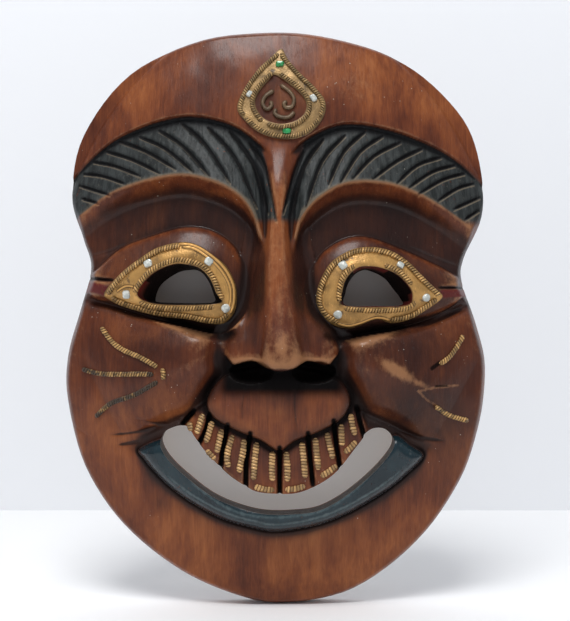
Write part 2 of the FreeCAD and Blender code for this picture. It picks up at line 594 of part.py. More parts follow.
def edge_strip(points, inward, seat, width=EYE_BEAD_WIDTH):
    """Strip just inside an edge: moved sideways by half its width, to the left when inward is 1."""
    line = offset_line(real_line(points), inward * (0.5 * width + GLUE_GAP))
    return strip(trimmed(line, 0.5 * JOIN_GAP, 0.5 * JOIN_GAP), width, BEAD_HEIGHT, seat)


def eye_trim(side, plate, hole, strips, chips):
    opening = [real(p) for p in spline(hole, closed=True, steps=2)]
    nodes = {side + "_eye_plate": slab([real(p) for p in spline(plate, closed=True, steps=3)],
                                       [opening], wood_seat, plate_top)}
    for name, points, inward in strips:
        nodes[side + "_eye_bead_" + name] = edge_strip(points, inward, plate_seat)
    for i, (at, width, length, turn) in enumerate(chips):
        spot = real(at)
        if length is None:
            chip = round_chip(spot, width, plate_seat)
        else:
            chip = square_chip(spot, width, length, turn, plate_seat)
        nodes["%s_eye_chip_%d" % (side, i + 1)] = chip
    return nodes


def crest_trim():
    opening = [real(p) for p in CREST_OPENING]
    plate = [real(p) for p in spline(CREST_PLATE, closed=True, steps=3)]
    nodes = {"crest_plate": slab(plate, [opening], wood_seat, plate_top)}
    for name, points, inward in (("left", CREST_LEFT_EDGE, 1), ("right", CREST_RIGHT_EDGE, -1),
                                 ("bottom", CREST_BOTTOM_EDGE, 1), ("inner_left", CREST_INNER_LEFT, -1),
                                 ("inner_right", CREST_INNER_RIGHT, 1)):
        nodes["crest_bead_" + name] = edge_strip(points, inward, plate_seat, CREST_BEAD_WIDTH)
    for name, points in SCROLLS.items():
        nodes["crest_" + name] = strip(real_line(points), SCROLL_WIDTH, BEAD_HEIGHT, wood_seat, 0.8)
    for name, (at, width, length, turn) in zip(("top", "bottom", "left", "right"), CREST_CHIPS):
        nodes["crest_chip_" + name] = square_chip(real(at), width, length, turn, plate_seat)
    return nodes


def face_strips():
    nodes = {}
    for name, points in WHISKERS.items():
        nodes[name] = strip(real_line(points), WHISKER_BEAD_WIDTH, BEAD_HEIGHT, wood_seat)
    nodes["left_whisker_link"] = strip(real_line(WHISKER_LINK), WHISKER_BEAD_WIDTH, BEAD_HEIGHT, wood_seat, 0.9)
    for name, points in TOOTH_STRIPS.items():
        nodes[name + "_strip"] = strip(real_line(points), TOOTH_BEAD_WIDTH, BEAD_HEIGHT, wood_seat)
    return nodes


# ---- hanger -------------------------------------------------------------------------------------
def brad_places():
    return [V(side * (HANGER_LENGTH / 2 - BRAD_INSET), 0, HANGER_WIDTH / 2) for side in (-1, 1)]


def brad_holes():
    radius = BRAD_DIAMETER / 2 + BRAD_CLEARANCE
    return [Part.makeCylinder(radius, BRAD_LENGTH, place - V(0, PAD_DEPTH, 0), V(0, -1, 0))
            for place in brad_places()]


def sawtooth_hanger():
    """Flat steel strip with two ears nailed to the pad and a toothed lower edge that stands off it."""
    ear = BRAD_INSET + BRAD_HEAD + 0.5
    tooth_depth = 1.6
    span_x = HANGER_LENGTH / 2 - ear - 2.0
    teeth = 8
    pitch = 2 * span_x / teeth
    lower = []
    for i in range(teeth):
        start = -span_x + i * pitch
        lower.append((start, -tooth_depth))
        lower.append((start + pitch / 2, 0))
    lower.append((span_x, -tooth_depth))
    top = HANGER_WIDTH - 1.0
    middle = corner_wire([(-span_x - 2, top)] + [(-span_x - 2, -tooth_depth)] + lower +
                         [(span_x + 2, -tooth_depth), (span_x + 2, top)], 0)
    pad = -PAD_DEPTH + GLUE_GAP
    stand = pad + HANGER_STANDOFF
    parts = [prism([middle], stand, stand + HANGER_SHEET)]
    for side in (-1, 1):
        near, far = side * (span_x + 2), side * HANGER_LENGTH / 2
        step = near + side * 2.0
        profile = [V(near, stand, 0), V(step, pad, 0), V(far, pad, 0), V(far, pad + HANGER_SHEET, 0),
                   V(step, pad + HANGER_SHEET, 0), V(near, stand + HANGER_SHEET, 0)]
        ear_block = Part.Face(Part.makePolygon(profile + profile[:1])).extrude(V(0, 0, top))
        parts.append(ear_block)
    plate = parts[0].fuse(parts[1:]).removeSplitter()
    radius = BRAD_DIAMETER / 2 + BRAD_CLEARANCE
    for place in brad_places():
        plate = plate.cut(Part.makeCylinder(radius, 4 * PAD_DEPTH, place - V(0, 2 * PAD_DEPTH, 0), V(0, 1, 0)))
    return plate.Solids[0]


def hanger_nails():
    """Two brads that hold the hanger: domed heads, straight shanks with pointed ends."""
    nails = []
    top = -PAD_DEPTH + 2 * GLUE_GAP + HANGER_SHEET
    for place in brad_places():
        tip = -PAD_DEPTH - BRAD_LENGTH + 0.5
        profile = [V(0, top + 0.9, 0), V(0.35 * BRAD_HEAD, top + 0.7, 0), V(0.5 * BRAD_HEAD, top, 0),
                   V(0.5 * BRAD_DIAMETER, top, 0), V(0.5 * BRAD_DIAMETER, tip + 1.5, 0), V(0, tip, 0)]
        face = Part.Face(Part.makePolygon(profile + profile[:1]))
        nail = face.revolve(V(0, 0, 0), V(0, 1, 0), 360)
        nail.translate(V(place.x, 0, place.z))
        nails.append(nail)
    return Part.makeCompound(nails)


# ---- all pieces ---------------------------------------------------------------------------------
def build():
    nodes = {"mask_body": mask_body()}
    nodes.update(eye_trim("left", LEFT_PLATE, LEFT_EYE_HOLE[0],
                          [("outer_upper", LEFT_OUTER_UPPER, -1), ("outer_lower", LEFT_OUTER_LOWER, 1),
                           ("inner_upper", LEFT_INNER_UPPER, 1), ("inner_lower", LEFT_INNER_LOWER, -1)],
                          LEFT_EYE_CHIPS))
    nodes.update(eye_trim("right", RIGHT_PLATE, RIGHT_EYE_HOLE[0],
                          [("outer_upper", RIGHT_OUTER_UPPER, 1), ("outer_lower", RIGHT_OUTER_LOWER, 1),
                           ("inner_nose", RIGHT_INNER_NOSE, 1), ("inner_outer", RIGHT_INNER_OUTER, 1),
                           ("inner_lower", RIGHT_INNER_LOWER, -1)],
                          RIGHT_EYE_CHIPS))
    nodes.update(crest_trim())
    nodes.update(face_strips())
    nodes["sawtooth_hanger"] = sawtooth_hanger()
    nodes["hanger_nails"] = hanger_nails()
    return nodes


os.makedirs("parts", exist_ok=True)
for name, shape in build().items():
    shape.exportStep("parts/%s.step" % name)
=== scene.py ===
import math
import bpy
import numpy as np
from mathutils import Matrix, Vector
from mathutils.geometry import delaunay_2d_cdt


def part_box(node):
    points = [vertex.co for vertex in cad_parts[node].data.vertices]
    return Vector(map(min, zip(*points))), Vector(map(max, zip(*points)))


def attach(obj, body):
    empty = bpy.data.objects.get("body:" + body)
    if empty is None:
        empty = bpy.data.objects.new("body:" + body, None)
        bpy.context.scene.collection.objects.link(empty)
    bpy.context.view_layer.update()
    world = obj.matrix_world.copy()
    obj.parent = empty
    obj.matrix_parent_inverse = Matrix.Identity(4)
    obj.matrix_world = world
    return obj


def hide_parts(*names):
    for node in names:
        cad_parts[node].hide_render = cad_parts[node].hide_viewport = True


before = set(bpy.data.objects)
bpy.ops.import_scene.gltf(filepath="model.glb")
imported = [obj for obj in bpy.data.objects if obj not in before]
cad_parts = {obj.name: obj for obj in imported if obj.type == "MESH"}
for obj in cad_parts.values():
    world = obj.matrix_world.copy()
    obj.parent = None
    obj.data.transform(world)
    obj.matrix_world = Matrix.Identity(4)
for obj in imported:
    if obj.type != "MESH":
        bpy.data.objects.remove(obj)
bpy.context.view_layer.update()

# A carved wooden wall mask.  The face is drawn as a pattern in millimetres, x across and v up from the
# middle of the face, and stretched to the frame's mask_body.  Lengths are millimetres up to the meshes.
MM = 0.001
HANG_HEIGHT = 105.0         # hanging point above the middle of the face, in the pattern
PATTERN_DEPTH = 52.3        # wall to nose tip, in the pattern
PAD_DEPTH = 5.0             # wall to the pad that the hanger is on
GLUE_GAP = 0.1
PLATE_THICKNESS = 0.9
STEP = 0.6                  # spacing of the carved grid
rng = np.random.default_rng(11)


# ---- small mathematics --------------------------------------------------------------------------
def clamp(t):
    return np.clip(t, 0.0, 1.0)


def ramp(low, high, t):
    t = clamp((t - low) / (high - low))
    return t * t * (3 - 2 * t)


def bell(t):
    return np.exp(-t * t)


def root(t):
    return np.sqrt(np.maximum(t, 0.0))


def soft_max(a, b, k):
    t = clamp(0.5 + 0.5 * (a - b) / k)
    return b + (a - b) * t + k * t * (1 - t)


def soft_min(a, b, k):
    return -soft_max(-a, -b, k)


def spline(points, closed=False, steps=6):
    """Points along a smooth curve through the given points."""
    count = len(points)
    line = []
    for i in range(count if closed else count - 1):
        if closed:
            near = [points[(i + k - 1) % count] for k in range(4)]
        else:
            near = [points[min(max(i + k - 1, 0), count - 1)] for k in range(4)]
        for s in range(steps):
            t = s / steps
            weights = (-t + 2 * t ** 2 - t ** 3, 2 - 5 * t ** 2 + 3 * t ** 3,
                       t + 4 * t ** 2 - 3 * t ** 3, -t ** 2 + t ** 3)
            line.append(tuple(0.5 * sum(w * p[axis] for w, p in zip(weights, near)) for axis in (0, 1)))
    if not closed:
        line.append(tuple(points[-1]))
    return line


def along(line, t):
    return np.interp(t, [p[0] for p in line], [p[1] for p in line])


def place_on(line, x, v):
    """Distance to an open line, and the share of its length at the nearest place."""
    best = np.full(np.shape(x), np.inf)
    place = np.zeros(np.shape(x))
    run = 0.0
    for (ax, av), (bx, bv) in zip(line, line[1:]):
        ex, ev = bx - ax, bv - av
        length = math.hypot(ex, ev)
        t = clamp(((x - ax) * ex + (v - av) * ev) / (length * length))
        gap = (x - ax - t * ex) ** 2 + (v - av - t * ev) ** 2
        closer = gap < best
        best = np.where(closer, gap, best)
        place = np.where(closer, run + t * length, place)
        run += length
    return np.sqrt(best), place / run


def inside(loop, x, v):
    """Distance to a closed line, positive inside it."""
    odd = np.zeros(np.shape(x), bool)
    for (ax, av), (bx, bv) in zip(loop, loop[1:] + loop[:1]):
        if av != bv:
            odd ^= ((av > v) != (bv > v)) & (x < ax + (v - av) * (bx - ax) / (bv - av))
    gap = place_on(loop + loop[:1], x, v)[0]
    return np.where(odd, gap, -gap)


def blur(field, reach):
    """Gaussian blur of a grid, with reach in grid steps."""
    pad = int(3 * reach) + 1
    wide = np.pad(field, pad, mode="edge")
    rows = np.fft.fftfreq(wide.shape[0])[:, None]
    columns = np.fft.rfftfreq(wide.shape[1])[None, :]
    keep = np.exp(-2 * (math.pi * reach) ** 2 * (rows ** 2 + columns ** 2))
    return np.fft.irfft2(np.fft.rfft2(wide) * keep, s=wide.shape)[pad:-pad, pad:-pad]


# ---- the drawing of the face --------------------------------------------------------------------
OUTLINE = spline([(3, 145), (-38, 141), (-75, 124), (-99, 93), (-105, 62), (-99, 40), (-95, 25), (-100, 5),
                  (-107, -20), (-107, -42), (-98, -76), (-78, -106), (-49, -129), (-19, -142), (6, -145.5),
                  (39, -138), (71, -114), (93, -83), (103, -53), (106, -25), (101, -3), (94, 18), (95, 30),
                  (104, 51), (104, 75), (95, 101), (70, 126), (40, 139)], closed=True)
BROW_TOP = spline([(-112, 62), (-99, 77), (-79, 92), (-49, 101), (-24, 97), (-7, 85), (-1, 77), (3, 77),
                   (13, 88), (33, 97), (58, 94), (84, 84), (102, 71), (112, 60)])
BROW_RIDGE = spline([(-112, 44), (-99, 51), (-80, 63), (-51, 70), (-32, 67), (-19, 60), (-12, 51), (-8, 40),
                     (0, 30), (8, 38), (12, 49), (21, 59), (35, 66), (54, 66), (72, 60), (92, 48), (112, 32)])
LEFT_LID = spline([(-97, 17), (-90, 25), (-78, 35), (-62, 41), (-46, 45), (-32, 43), (-20, 34), (-14, 20),
                   (-14, 8), (-19, -2), (-29, -8), (-45, -5), (-62, -1), (-80, 5), (-92, 9)], closed=True)
RIGHT_LID = spline([(96, 15), (88, 22), (76, 28), (60, 35), (45, 40), (33, 39), (21, 31), (14, 18), (13, 5),
                    (19, -5), (28, -11), (44, -9), (60, -6), (76, -1), (90, 7)], closed=True)
LEFT_CHEEK = spline([(-86, -42), (-70, -34), (-54, -27), (-40, -19), (-26, -10)])
RIGHT_CHEEK = spline([(29, -11), (44, -22), (60, -30), (74, -36), (88, -44)])
LEFT_CREASE = spline([(-22, -8), (-29, -9), (-41, -6), (-51, -2), (-69, 2), (-84, 7), (-106, 9)])
RIGHT_CREASE = spline([(24, -9), (33, -11), (48, -7), (60, -6), (76, -2), (89, 3), (104, 8)])
LEFT_FOLD = spline([(-27, -8), (-29, -18), (-28, -28), (-33, -38), (-42, -49), (-54, -54), (-68, -61),
                    (-82, -66)])
RIGHT_FOLD = spline([(29, -9), (32, -18), (33, -28), (38, -39), (45, -49), (57, -54), (70, -61), (84, -66)])
GUM = spline([(-46, -50), (-45, -57), (-36, -67), (-23, -79), (-10, -87), (4, -88.5), (18, -86), (30, -77),
              (39, -66), (44, -58), (41, -48), (30, -40), (0, -34), (-30, -40)], closed=True)
MUZZLE = spline([(-20, -26), (-29, -31), (-34.5, -41), (-31, -49), (-20, -55), (-8, -60), (1, -65), (9, -60),
                 (20, -56), (31, -50), (36, -41), (31, -31), (18, -26), (0, -24)], closed=True)
LIP = spline([(-69, -65.5), (-66, -71), (-62, -76), (-54, -84), (-43, -92), (-28, -100), (-13, -104.5),
              (-1, -106.5), (17, -104), (34, -98), (52, -88), (65, -78), (73, -69), (66, -63), (58, -58),
              (50, -66), (36, -80), (20, -90), (-2, -93), (-22, -89), (-42, -74), (-53, -62), (-58, -60)],
             closed=True)
NOSE_CREST = spline([(-50, 53), (-22, 51.5), (-10, 49.5), (5, 45), (20, 41.5), (35, 38.5), (50, 36.5),
                     (66, 35), (84, 31)])
NOSE_HALF = spline([(-50, 31), (-24, 31), (-15, 30), (-6, 25.5), (4, 21), (14, 17.5), (26, 15), (38, 13),
                    (50, 12), (66, 13), (84, 15)])
NOSE_LEAN = spline([(-50, 3), (-20, 2.5), (0, 1.5), (30, 0), (84, 1)])
NOSE_BRIDGE = spline([(0, 1), (0.2, 0.96), (0.32, 0.84), (0.6, 0.46), (0.82, 0.17), (1.0, 0), (1.2, 0)])
NOSE_WINGS = spline([(0, 1), (0.22, 0.95), (0.36, 0.74), (0.5, 0.6), (0.7, 0.56), (0.86, 0.43), (0.96, 0.2),
                     (1.04, 0), (1.2, 0)])
NOSE_BOTTOM = spline([(-44, -12), (-33, -12), (-29, -14), (-24, -20), (-20, -23), (-12, -21), (-7, -24),
                      (2, -25.5), (9, -24), (15, -21), (23, -24), (29, -19), (33, -13), (44, -12)])
NOSTRILS = [(-12.5, -26.5), (18, -26.5)]
NOSTRIL_HALF = (10.5, 5.5)
NOSTRIL_DEPTH = 11
TOOTH_GAPS = [[(-33, -47), (-35, -55), (-38.5, -62)], [(-24, -52), (-26.5, -64), (-28, -75)],
              [(-13, -56), (-15, -70), (-15.5, -84)], [(1.2, -63), (1.2, -88)],
              [(15, -56), (16, -68), (17.5, -82)], [(27.5, -50), (29, -62), (31, -75)],
              [(-41, -46), (-47, -53)], [(39, -44), (41, -52), (43, -59)]]
LEFT_EYE_HOLE = ([(-69, 11), (-65, 18), (-59, 23), (-51, 26), (-45, 26), (-38, 24), (-33, 19), (-30, 12),
                  (-28, 7), (-47, 6), (-62, 7)],
                 [(-61, 9), (-59, 15), (-55, 19), (-49, 22.5), (-44, 23.5), (-39, 23), (-35, 19), (-32, 12),
                  (-32, 7.5), (-46, 7), (-59, 7.5)])
RIGHT_EYE_HOLE = ([(32, 6), (32, 13), (34, 19), (39, 24), (45, 25), (52, 24), (59, 21), (65, 15), (66.5, 10),
                   (64, 6), (49, 5)],
                  [(34, 6), (34, 12), (35.5, 17), (39, 21.5), (43.5, 23.5), (49, 22), (54, 19), (58, 14),
                   (61.5, 9.5), (62, 6), (49, 5.5)])
MOUTH_SLOT = [(-44, -54), (-40.5, -59), (-36, -65), (-29, -72.5), (-23, -78), (-16, -82.5), (-10, -85.5),
              (-1, -86.5), (8, -86.5), (15, -84.5), (23, -80.5), (30, -75), (38, -65), (42, -60), (44, -57),
              (48, -55), (53.5, -55.5), (57.5, -60), (56, -66), (47.5, -76), (34.5, -87), (21, -94.5),
              (8, -96.5), (-6, -96.5), (-19, -93.5), (-32.5, -87.5), (-46, -77), (-54, -69), (-57.5, -62),
              (-56, -57), (-51.5, -54.5), (-47, -53.5)]

CREST_OPENING = [(-1, 121), (7.5, 115), (13, 109.5), (14.5, 105), (13, 100.5), (9, 97.5), (4, 96), (-1, 96.3),
                 (-6.5, 98.6), (-10, 103), (-11, 107.5), (-9, 112.5), (-4.5, 118)]

# brow cuts, from the forehead edge down to the ridge
LEFT_CUTS = [[(-99, 60), (-90, 57)], [(-101, 67), (-84, 61)], [(-99, 73), (-88, 71), (-75, 66)],
             [(-94, 79), (-82, 76), (-68, 70)], [(-87, 84), (-73, 79), (-58, 71)],
             [(-80, 89), (-66, 83), (-50, 73)], [(-70, 91), (-56, 84), (-41, 71)],
             [(-60, 94), (-47, 85), (-33, 69)], [(-48, 97), (-36, 86), (-23, 66)],
             [(-35, 95), (-21, 79), (-10, 54)], [(-24, 93), (-12, 76), (-4.5, 51)],
             [(-14, 87), (-6, 74), (-0.5, 47)]]
RIGHT_CUTS = [[(13, 83), (8, 70), (3, 51)], [(23, 89), (13, 74), (7, 50)], [(34, 91), (22, 77), (14, 54)],
              [(44, 93), (33, 82), (25, 65)], [(53, 91), (41, 82), (31, 66)], [(62, 88), (48, 80), (37, 68)],
              [(73, 85), (60, 78), (47, 68)], [(83, 81), (70, 76), (59, 66)], [(90, 77), (78, 73), (65, 64)],
              [(95, 73), (83, 69), (70, 61)], [(100, 68), (91, 65), (80, 58)], [(103, 61), (88, 54)],
              [(102, 54), (94, 49)]]
# places made pale: (amount, x, v, half width, half height, slope); the nose tip and the right cheek are
# rubbed by handling and painted highlight, the nose bridge and the left cheek ridge are painted highlight,
# and the spot at the outer end of the right cheek is rubbed only
RUBBED_AND_HIGHLIT = [(0.70, 2.5, -14, 4.5, 8, 0), (0.40, 1.5, 8, 2.6, 17, 0), (0.98, 58.5, -26, 9, 3.6, -0.5),
          (0.60, 69, -32, 6, 2.0, -0.4), (0.34, -42, -23, 11, 2.6, 0.55)]
# places darkened by soot and old varnish: (amount, x, v, half width, half height), the first on both cheeks;
# in the second table the first place, on the muzzle under the nose, is painted shadow of the nose
SOOTY_CHEEKS = [(0.48, 62, -12, 34, 13), (0.26, 66, -34, 32, 26)]
SOOTY_AND_SHADOWED = [(0.45, 2, -40, 14, 9), (0.35, 62, -48, 24, 15), (0.30, 88, -66, 16, 24), (0.25, 62, -30, 40, 40),
         (0.5, 80, -50, 20, 18), (0.6, -62, -79, 5, 7), (0.5, -58, -93, 4, 4), (0.25, 82, 12, 30, 14)]
# fine lines scratched or folded into the wood: (line, depth, width)
NICKS = [([(-110, 21), (-80, 18)], 2.2, 1.2), ([(80, 14.5), (110, 15)], 2.2, 1.2),
         ([(-96, 30), (-84, 33), (-74, 37)], 0.5, 1.5), ([(92, 25), (80, 29), (66, 35)], 0.6, 1.5),
         ([(-15, -33), (-17, -44), (-16, -54)], 0.7, 1.2), ([(9, -33), (8.5, -44), (10, -56)], 0.8, 1.3),
         ([(-84, -59), (-70, -57), (-60, -54)], 0.9, 1.3), ([(-80, -64), (-68, -62)], 0.8, 1.2),
         ([(-72, -50), (-62, -52), (-54, -53)], 0.7, 1.4), ([(60, -56), (72, -60), (84, -62)], 0.9, 1.3),
         ([(40, -46), (56, -53), (74, -62)], 0.9, 1.6), ([(-108, -52), (-95, -60)], 0.3, 0.9),
         ([(70, -36), (74, -40), (79, -45)], 0.5, 1.0), ([(-64, -100), (-60, -112), (-62, -122)], 0.25, 0.9)]


def dome(x, v):
    return 7 + 24 * root(1 - (x / 116) ** 2 - (v / 154) ** 2) ** 1.3


def brows(x, v, base):
    """Forehead, sunk brow band rising to a ridge, and the eye socket under it."""
    side = ramp(3, 12, abs(x - 1))
    outer = ramp(55, 108, abs(x))
    edge = along(BROW_TOP, x)
    ridge = along(BROW_RIDGE, x)
    across = clamp((edge - v) / (edge - ridge))
    step = (4.2 - 2.0 * outer) * ramp(-0.4, 1.8, edge - v)
    brow = base - step * side + (10.5 - 5.0 * outer) * across ** 1.3 * side
    under = ridge - v
    floor = base - 7.0 + 4.0 * outer
    socket = floor + (brow - floor) * (1 - ramp(-2.5, 11.0 + 3 * outer, under))
    return brow + (socket - brow) * ramp(-1.0, 1.5, under) * side


def cheek(crest, x, v):
    gap, share = place_on(crest, x, v)
    if crest is LEFT_CHEEK:
        share = 1 - share
    spread = 21.0 + 4.0 * ramp(-6, 6, v - along(crest, x))
    return (9.0 + 26.0 * share * (1 - share) - 6.0 * share) * bell(gap / spread)


def mouth(x, v, h):
    """Gum with the teeth, muzzle lobe and the round lower lip."""
    gum = 34.0 - 0.0030 * x * x - 0.004 * (v + 60) ** 2
    h = h + (gum - h) * ramp(-1.5, 1.5, inside(GUM, x, v))
    lobe = 32.5 + 6.5 * root(1 - (x / 42) ** 2 - ((v + 40) / 34) ** 2) + bell((x + 5) / 12)
    depth = inside(MUZZLE, x, v)
    h = h + (lobe + 1.8 * root(clamp(depth / 6)) - h) * ramp(-0.5, 1.0, depth)
    depth = inside(LIP, x, v)
    round_edge = root(1 - (1 - clamp(depth / 6.5)) ** 2)
    lip = dome(x, v) - 0.5 + 9.0 * round_edge - 0.12 * np.maximum(depth - 7, 0)
    return h + (soft_max(h, lip, 0.6) - h) * ramp(-0.4, 0.2, depth)


def nose(x, v, base, h):
    across = abs(x - along(NOSE_LEAN, v)) / along(NOSE_HALF, v)
    wing = ramp(6, -14, v)
    profile = along(NOSE_BRIDGE, across) * (1 - wing) + along(NOSE_WINGS, across) * wing
    low = base - 4 - 3 * ramp(10, 60, v)
    top = low + (along(NOSE_CREST, v) - low) * profile
    top = top + 1.2 * bell((x - 2.5) / 7) * bell((v + 17) / 9) * wing
    top = top - 60 * (1 - ramp(-4.5, 0.8, v - along(NOSE_BOTTOM, x)))
    near = (across < 1.3) & (v < 90)
    h = np.where(near, h + (soft_max(h, top, 2.0) - h) * ramp(90, 60, v), h)
    for cx, cv in NOSTRILS:
        far = ((x - cx) / NOSTRIL_HALF[0]) ** 2 + ((v - cv) / NOSTRIL_HALF[1]) ** 2
        h = h - NOSTRIL_DEPTH * root(1 - far)
    return h


def relief(x, v):
    """Height of the carved front above the wall, before the knife's small cuts."""
    base = dome(x, v)
    h = brows(x, v, base)
    h = h + (base - h) * ramp(14, -16, v)
    h = h + cheek(LEFT_CHEEK, x, v) + cheek(RIGHT_CHEEK, x, v)
    for lid, middle in ((LEFT_LID, -50), (RIGHT_LID, 48)):
        depth = inside(lid, x, v)
        ball = 0.6 * base + 0.4 * dome(middle, 14) - 7.0 + 9.0 * root(clamp(depth / 14))
        h = h + (ball + ramp(-0.3, 1.0, depth) - h) * ramp(-0.6, 0.8, depth)
    for crease in (LEFT_CREASE, RIGHT_CREASE):
        h = h - 3.0 * bell(place_on(crease, x, v)[0] / 2.4)
    for fold in (LEFT_FOLD, RIGHT_FOLD):
        gap, share = place_on(fold, x, v)
        h = h - 6.0 * (1 - share ** 3) * bell(gap / 6.0)
    h = nose(x, v, base, mouth(x, v, h))
    return soft_min(h, 8.5 + 3.0 * np.maximum(inside(OUTLINE, x, v), -2), 3.0)


# ---- pattern to real size -----------------------------------------------------------------------
def span(line, axis):
    values = [point[axis] for point in line]
    return max(values) - min(values)


body_low, body_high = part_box("mask_body")
ACROSS = (body_high.x - body_low.x) / MM / span(OUTLINE, 0)
UP = (body_high.z - body_low.z) / MM / span(OUTLINE, 1)
OUT = -body_low.y / MM / PATTERN_DEPTH


def real(point):
    return point[0] * ACROSS, (point[1] - HANG_HEIGHT) * UP


# ---- carved grid --------------------------------------------------------------------------------
grid_x = np.arange(-111.0, 111.01, STEP)
grid_v = np.arange(-149.4, 149.41, STEP)
GX, GV = np.meshgrid(grid_x, grid_v)
SMOOTH = relief(GX, GV)
carved = SMOOTH.copy()


def window(line, margin):
    xs = [p[0] for p in line]
    vs = [p[1] for p in line]
    columns = slice(*np.searchsorted(grid_x, (min(xs) - margin, max(xs) + margin)))
    rows = slice(*np.searchsorted(grid_v, (min(vs) - margin, max(vs) + margin)))
    return rows, columns


def groove(line, depth, width, ends=0.18):
    """Knife cut along a line, shallower at its ends."""
    area = window(line, 2 * width)
    gap, share = place_on(spline(line, steps=4), GX[area], GV[area])
    taper = root(clamp(share / ends)) * root(clamp((1 - share) / ends))
    carved[area] -= depth * taper * clamp(1 - gap / (width * (0.35 + 0.65 * taper) + 1e-6)) ** 0.9


def mark(field, line, width, amount=1.0, soft=0.4):
    """Paint along a line."""
    area = window(line, 2 * width)
    gap, _ = place_on(spline(line, steps=4), GX[area], GV[area])
    field[area] = np.maximum(field[area], amount * ramp(width, width * (1 - soft), gap))


for cut in LEFT_CUTS + RIGHT_CUTS:
    groove(cut, 1.9, 1.5)
for gap_line in TOOTH_GAPS:
    groove(gap_line, 4.2, 1.5, 0.08)
for nick, nick_depth, nick_width in NICKS:
    groove(nick, nick_depth, nick_width)

# hand-carved unevenness: long soft gouge strokes and small facets
lumps = blur(rng.normal(size=GX.shape), 14)
facets = blur(rng.normal(size=GX.shape), 5)
carved += 0.30 * lumps / lumps.std() + 0.055 * facets / facets.std()


def sample(field, x, v):
    """Value of a grid field at pattern places."""
    i = np.clip((np.asarray(v) - grid_v[0]) / STEP, 0, len(grid_v) - 1.001)
    j = np.clip((np.asarray(x) - grid_x[0]) / STEP, 0, len(grid_x) - 1.001)
    i0, j0 = i.astype(int), j.astype(int)
    a, b = i - i0, j - j0
    low = field[i0, j0] * (1 - b) + field[i0, j0 + 1] * b
    high = field[i0 + 1, j0] * (1 - b) + field[i0 + 1, j0 + 1] * b
    return low * (1 - a) + high * a


SEAT = blur(SMOOTH + 0.30 * lumps / lumps.std(), 0.8)


def height(x, z):
    """Real height of the wood at real places, as trim is seated on it."""
    return OUT * sample(SEAT, np.asarray(x) / ACROSS, np.asarray(z) / UP + HANG_HEIGHT)


def on_pad(x, v):
    """Share of the flat pad under the hanger at pattern places."""
    return ramp(39, 31, abs(x)) * ramp(21, 13, abs(v - HANG_HEIGHT))


def gouge(x, v):
    """Real depth of the hollow in the back at pattern places."""
    bowl = 23.0 * root(1 - (x / 112) ** 2 - (v / 150) ** 2) + 8.0 * bell((x - 2) / 16) * bell((v + 2) / 26)
    depth = soft_min(bowl, OUT * sample(SMOOTH, x, v) - 8.0, 3.0)
    return depth + (PAD_DEPTH - depth) * on_pad(x, v)


# ---- paint fields: one value per grid point ------------------------------------------------------
def relief_shade():
    """Hollows and ridges of the carving at three sizes: (cavity, wear), grime and painted shade in the
    hollows, wear on the ridges.
    """
    cavity = np.zeros(GX.shape)
    wear_and_highlight = np.zeros(GX.shape)
    for reach, amount in ((2.0, 1.5), (6.0, 0.50), (16.0, 0.20)):
        rise = carved - blur(carved, reach)
        cavity += amount * np.maximum(-rise, 0)
        wear_and_highlight += amount * np.maximum(rise, 0)
    whole = ramp(1.0, 7.0, inside(OUTLINE, GX, GV))
    forehead = ramp(0.5, 2.5, GV - along(BROW_TOP, GX))
    return clamp(cavity * 0.75 - 0.05) * (1 - 0.9 * forehead) * whole, clamp(wear_and_highlight * 0.30 - 0.26) * whole


def patches(across, table):
    """Sum of soft round patches."""
    return sum(amount * bell((across - x) / width) * bell((GV - v) / height)
               for amount, x, v, width, height in table)


edge_v, ridge_v = along(BROW_TOP, GX), along(BROW_RIDGE, GX)
beside_nose = ramp(3, 12, abs(GX - 1))
far_out = ramp(55, 108, abs(GX))
cavity, wear_and_highlight = relief_shade()
lid_depth = np.maximum(inside(LEFT_LID, GX, GV), inside(RIGHT_LID, GX, GV))
lip_depth = inside(LIP, GX, GV)
muzzle_depth = inside(MUZZLE, GX, GV)

brow_side = np.where(GX < 1, -GX + along([(47, 0), (60, -2.5), (74, -5), (85, -8)], GV),
                     GX - along([(49, 2), (60, 4.5), (74, 9), (84, 13)], GV))
brow = (ramp(0.4, 1.4, edge_v - GV) * ramp(-0.3, 0.9, GV - ridge_v) * ramp(-0.6, 0.6, brow_side)
        * ramp(45, 49, GV))
lip = ramp(-0.1, 0.5, lip_depth)
red = np.zeros(GX.shape)
black_and_shade = np.zeros(GX.shape)
for red_line, red_width, red_amount, red_softness in (
        ([(-106, 15.5), (-92, 14.8), (-84, 12.5)], 3.4, 1.0, 0.4),
        ([(82, 11.6), (92, 12), (108, 12)], 2.5, 1.0, 0.4),
        ([(36, 4.4), (50, 4.2), (61, 5.6), (66.5, 10.5), (62, 17)], 2.6, 0.9, 0.6),
        ([(-60, 7.5), (-67.5, 11), (-62, 18)], 2.8, 0.7, 0.6)):
    mark(red, red_line, red_width, red_amount, red_softness)
for gap_line in TOOTH_GAPS:
    mark(black_and_shade, gap_line, 1.7, 1.0, 0.5)
# black along each brow cut is painted shade in the cut; the pale line just below it is painted highlight on
# the cut's lower wall
for cut in LEFT_CUTS + RIGHT_CUTS:
    mark(black_and_shade, cut, 0.9, 0.72, 0.8)
    mark(wear_and_highlight, [(x + 0.3, v - 1.25) for x, v in cut], 0.75, 0.85, 0.8)
# black along the cheek folds and under-eye creases: painted shade
for fold in (LEFT_FOLD, RIGHT_FOLD):
    mark(black_and_shade, fold[3:24], 3.0, 0.55, 0.9)
for crease in (LEFT_CREASE, RIGHT_CREASE):
    mark(black_and_shade, crease[:20], 3.4, 0.8, 0.9)
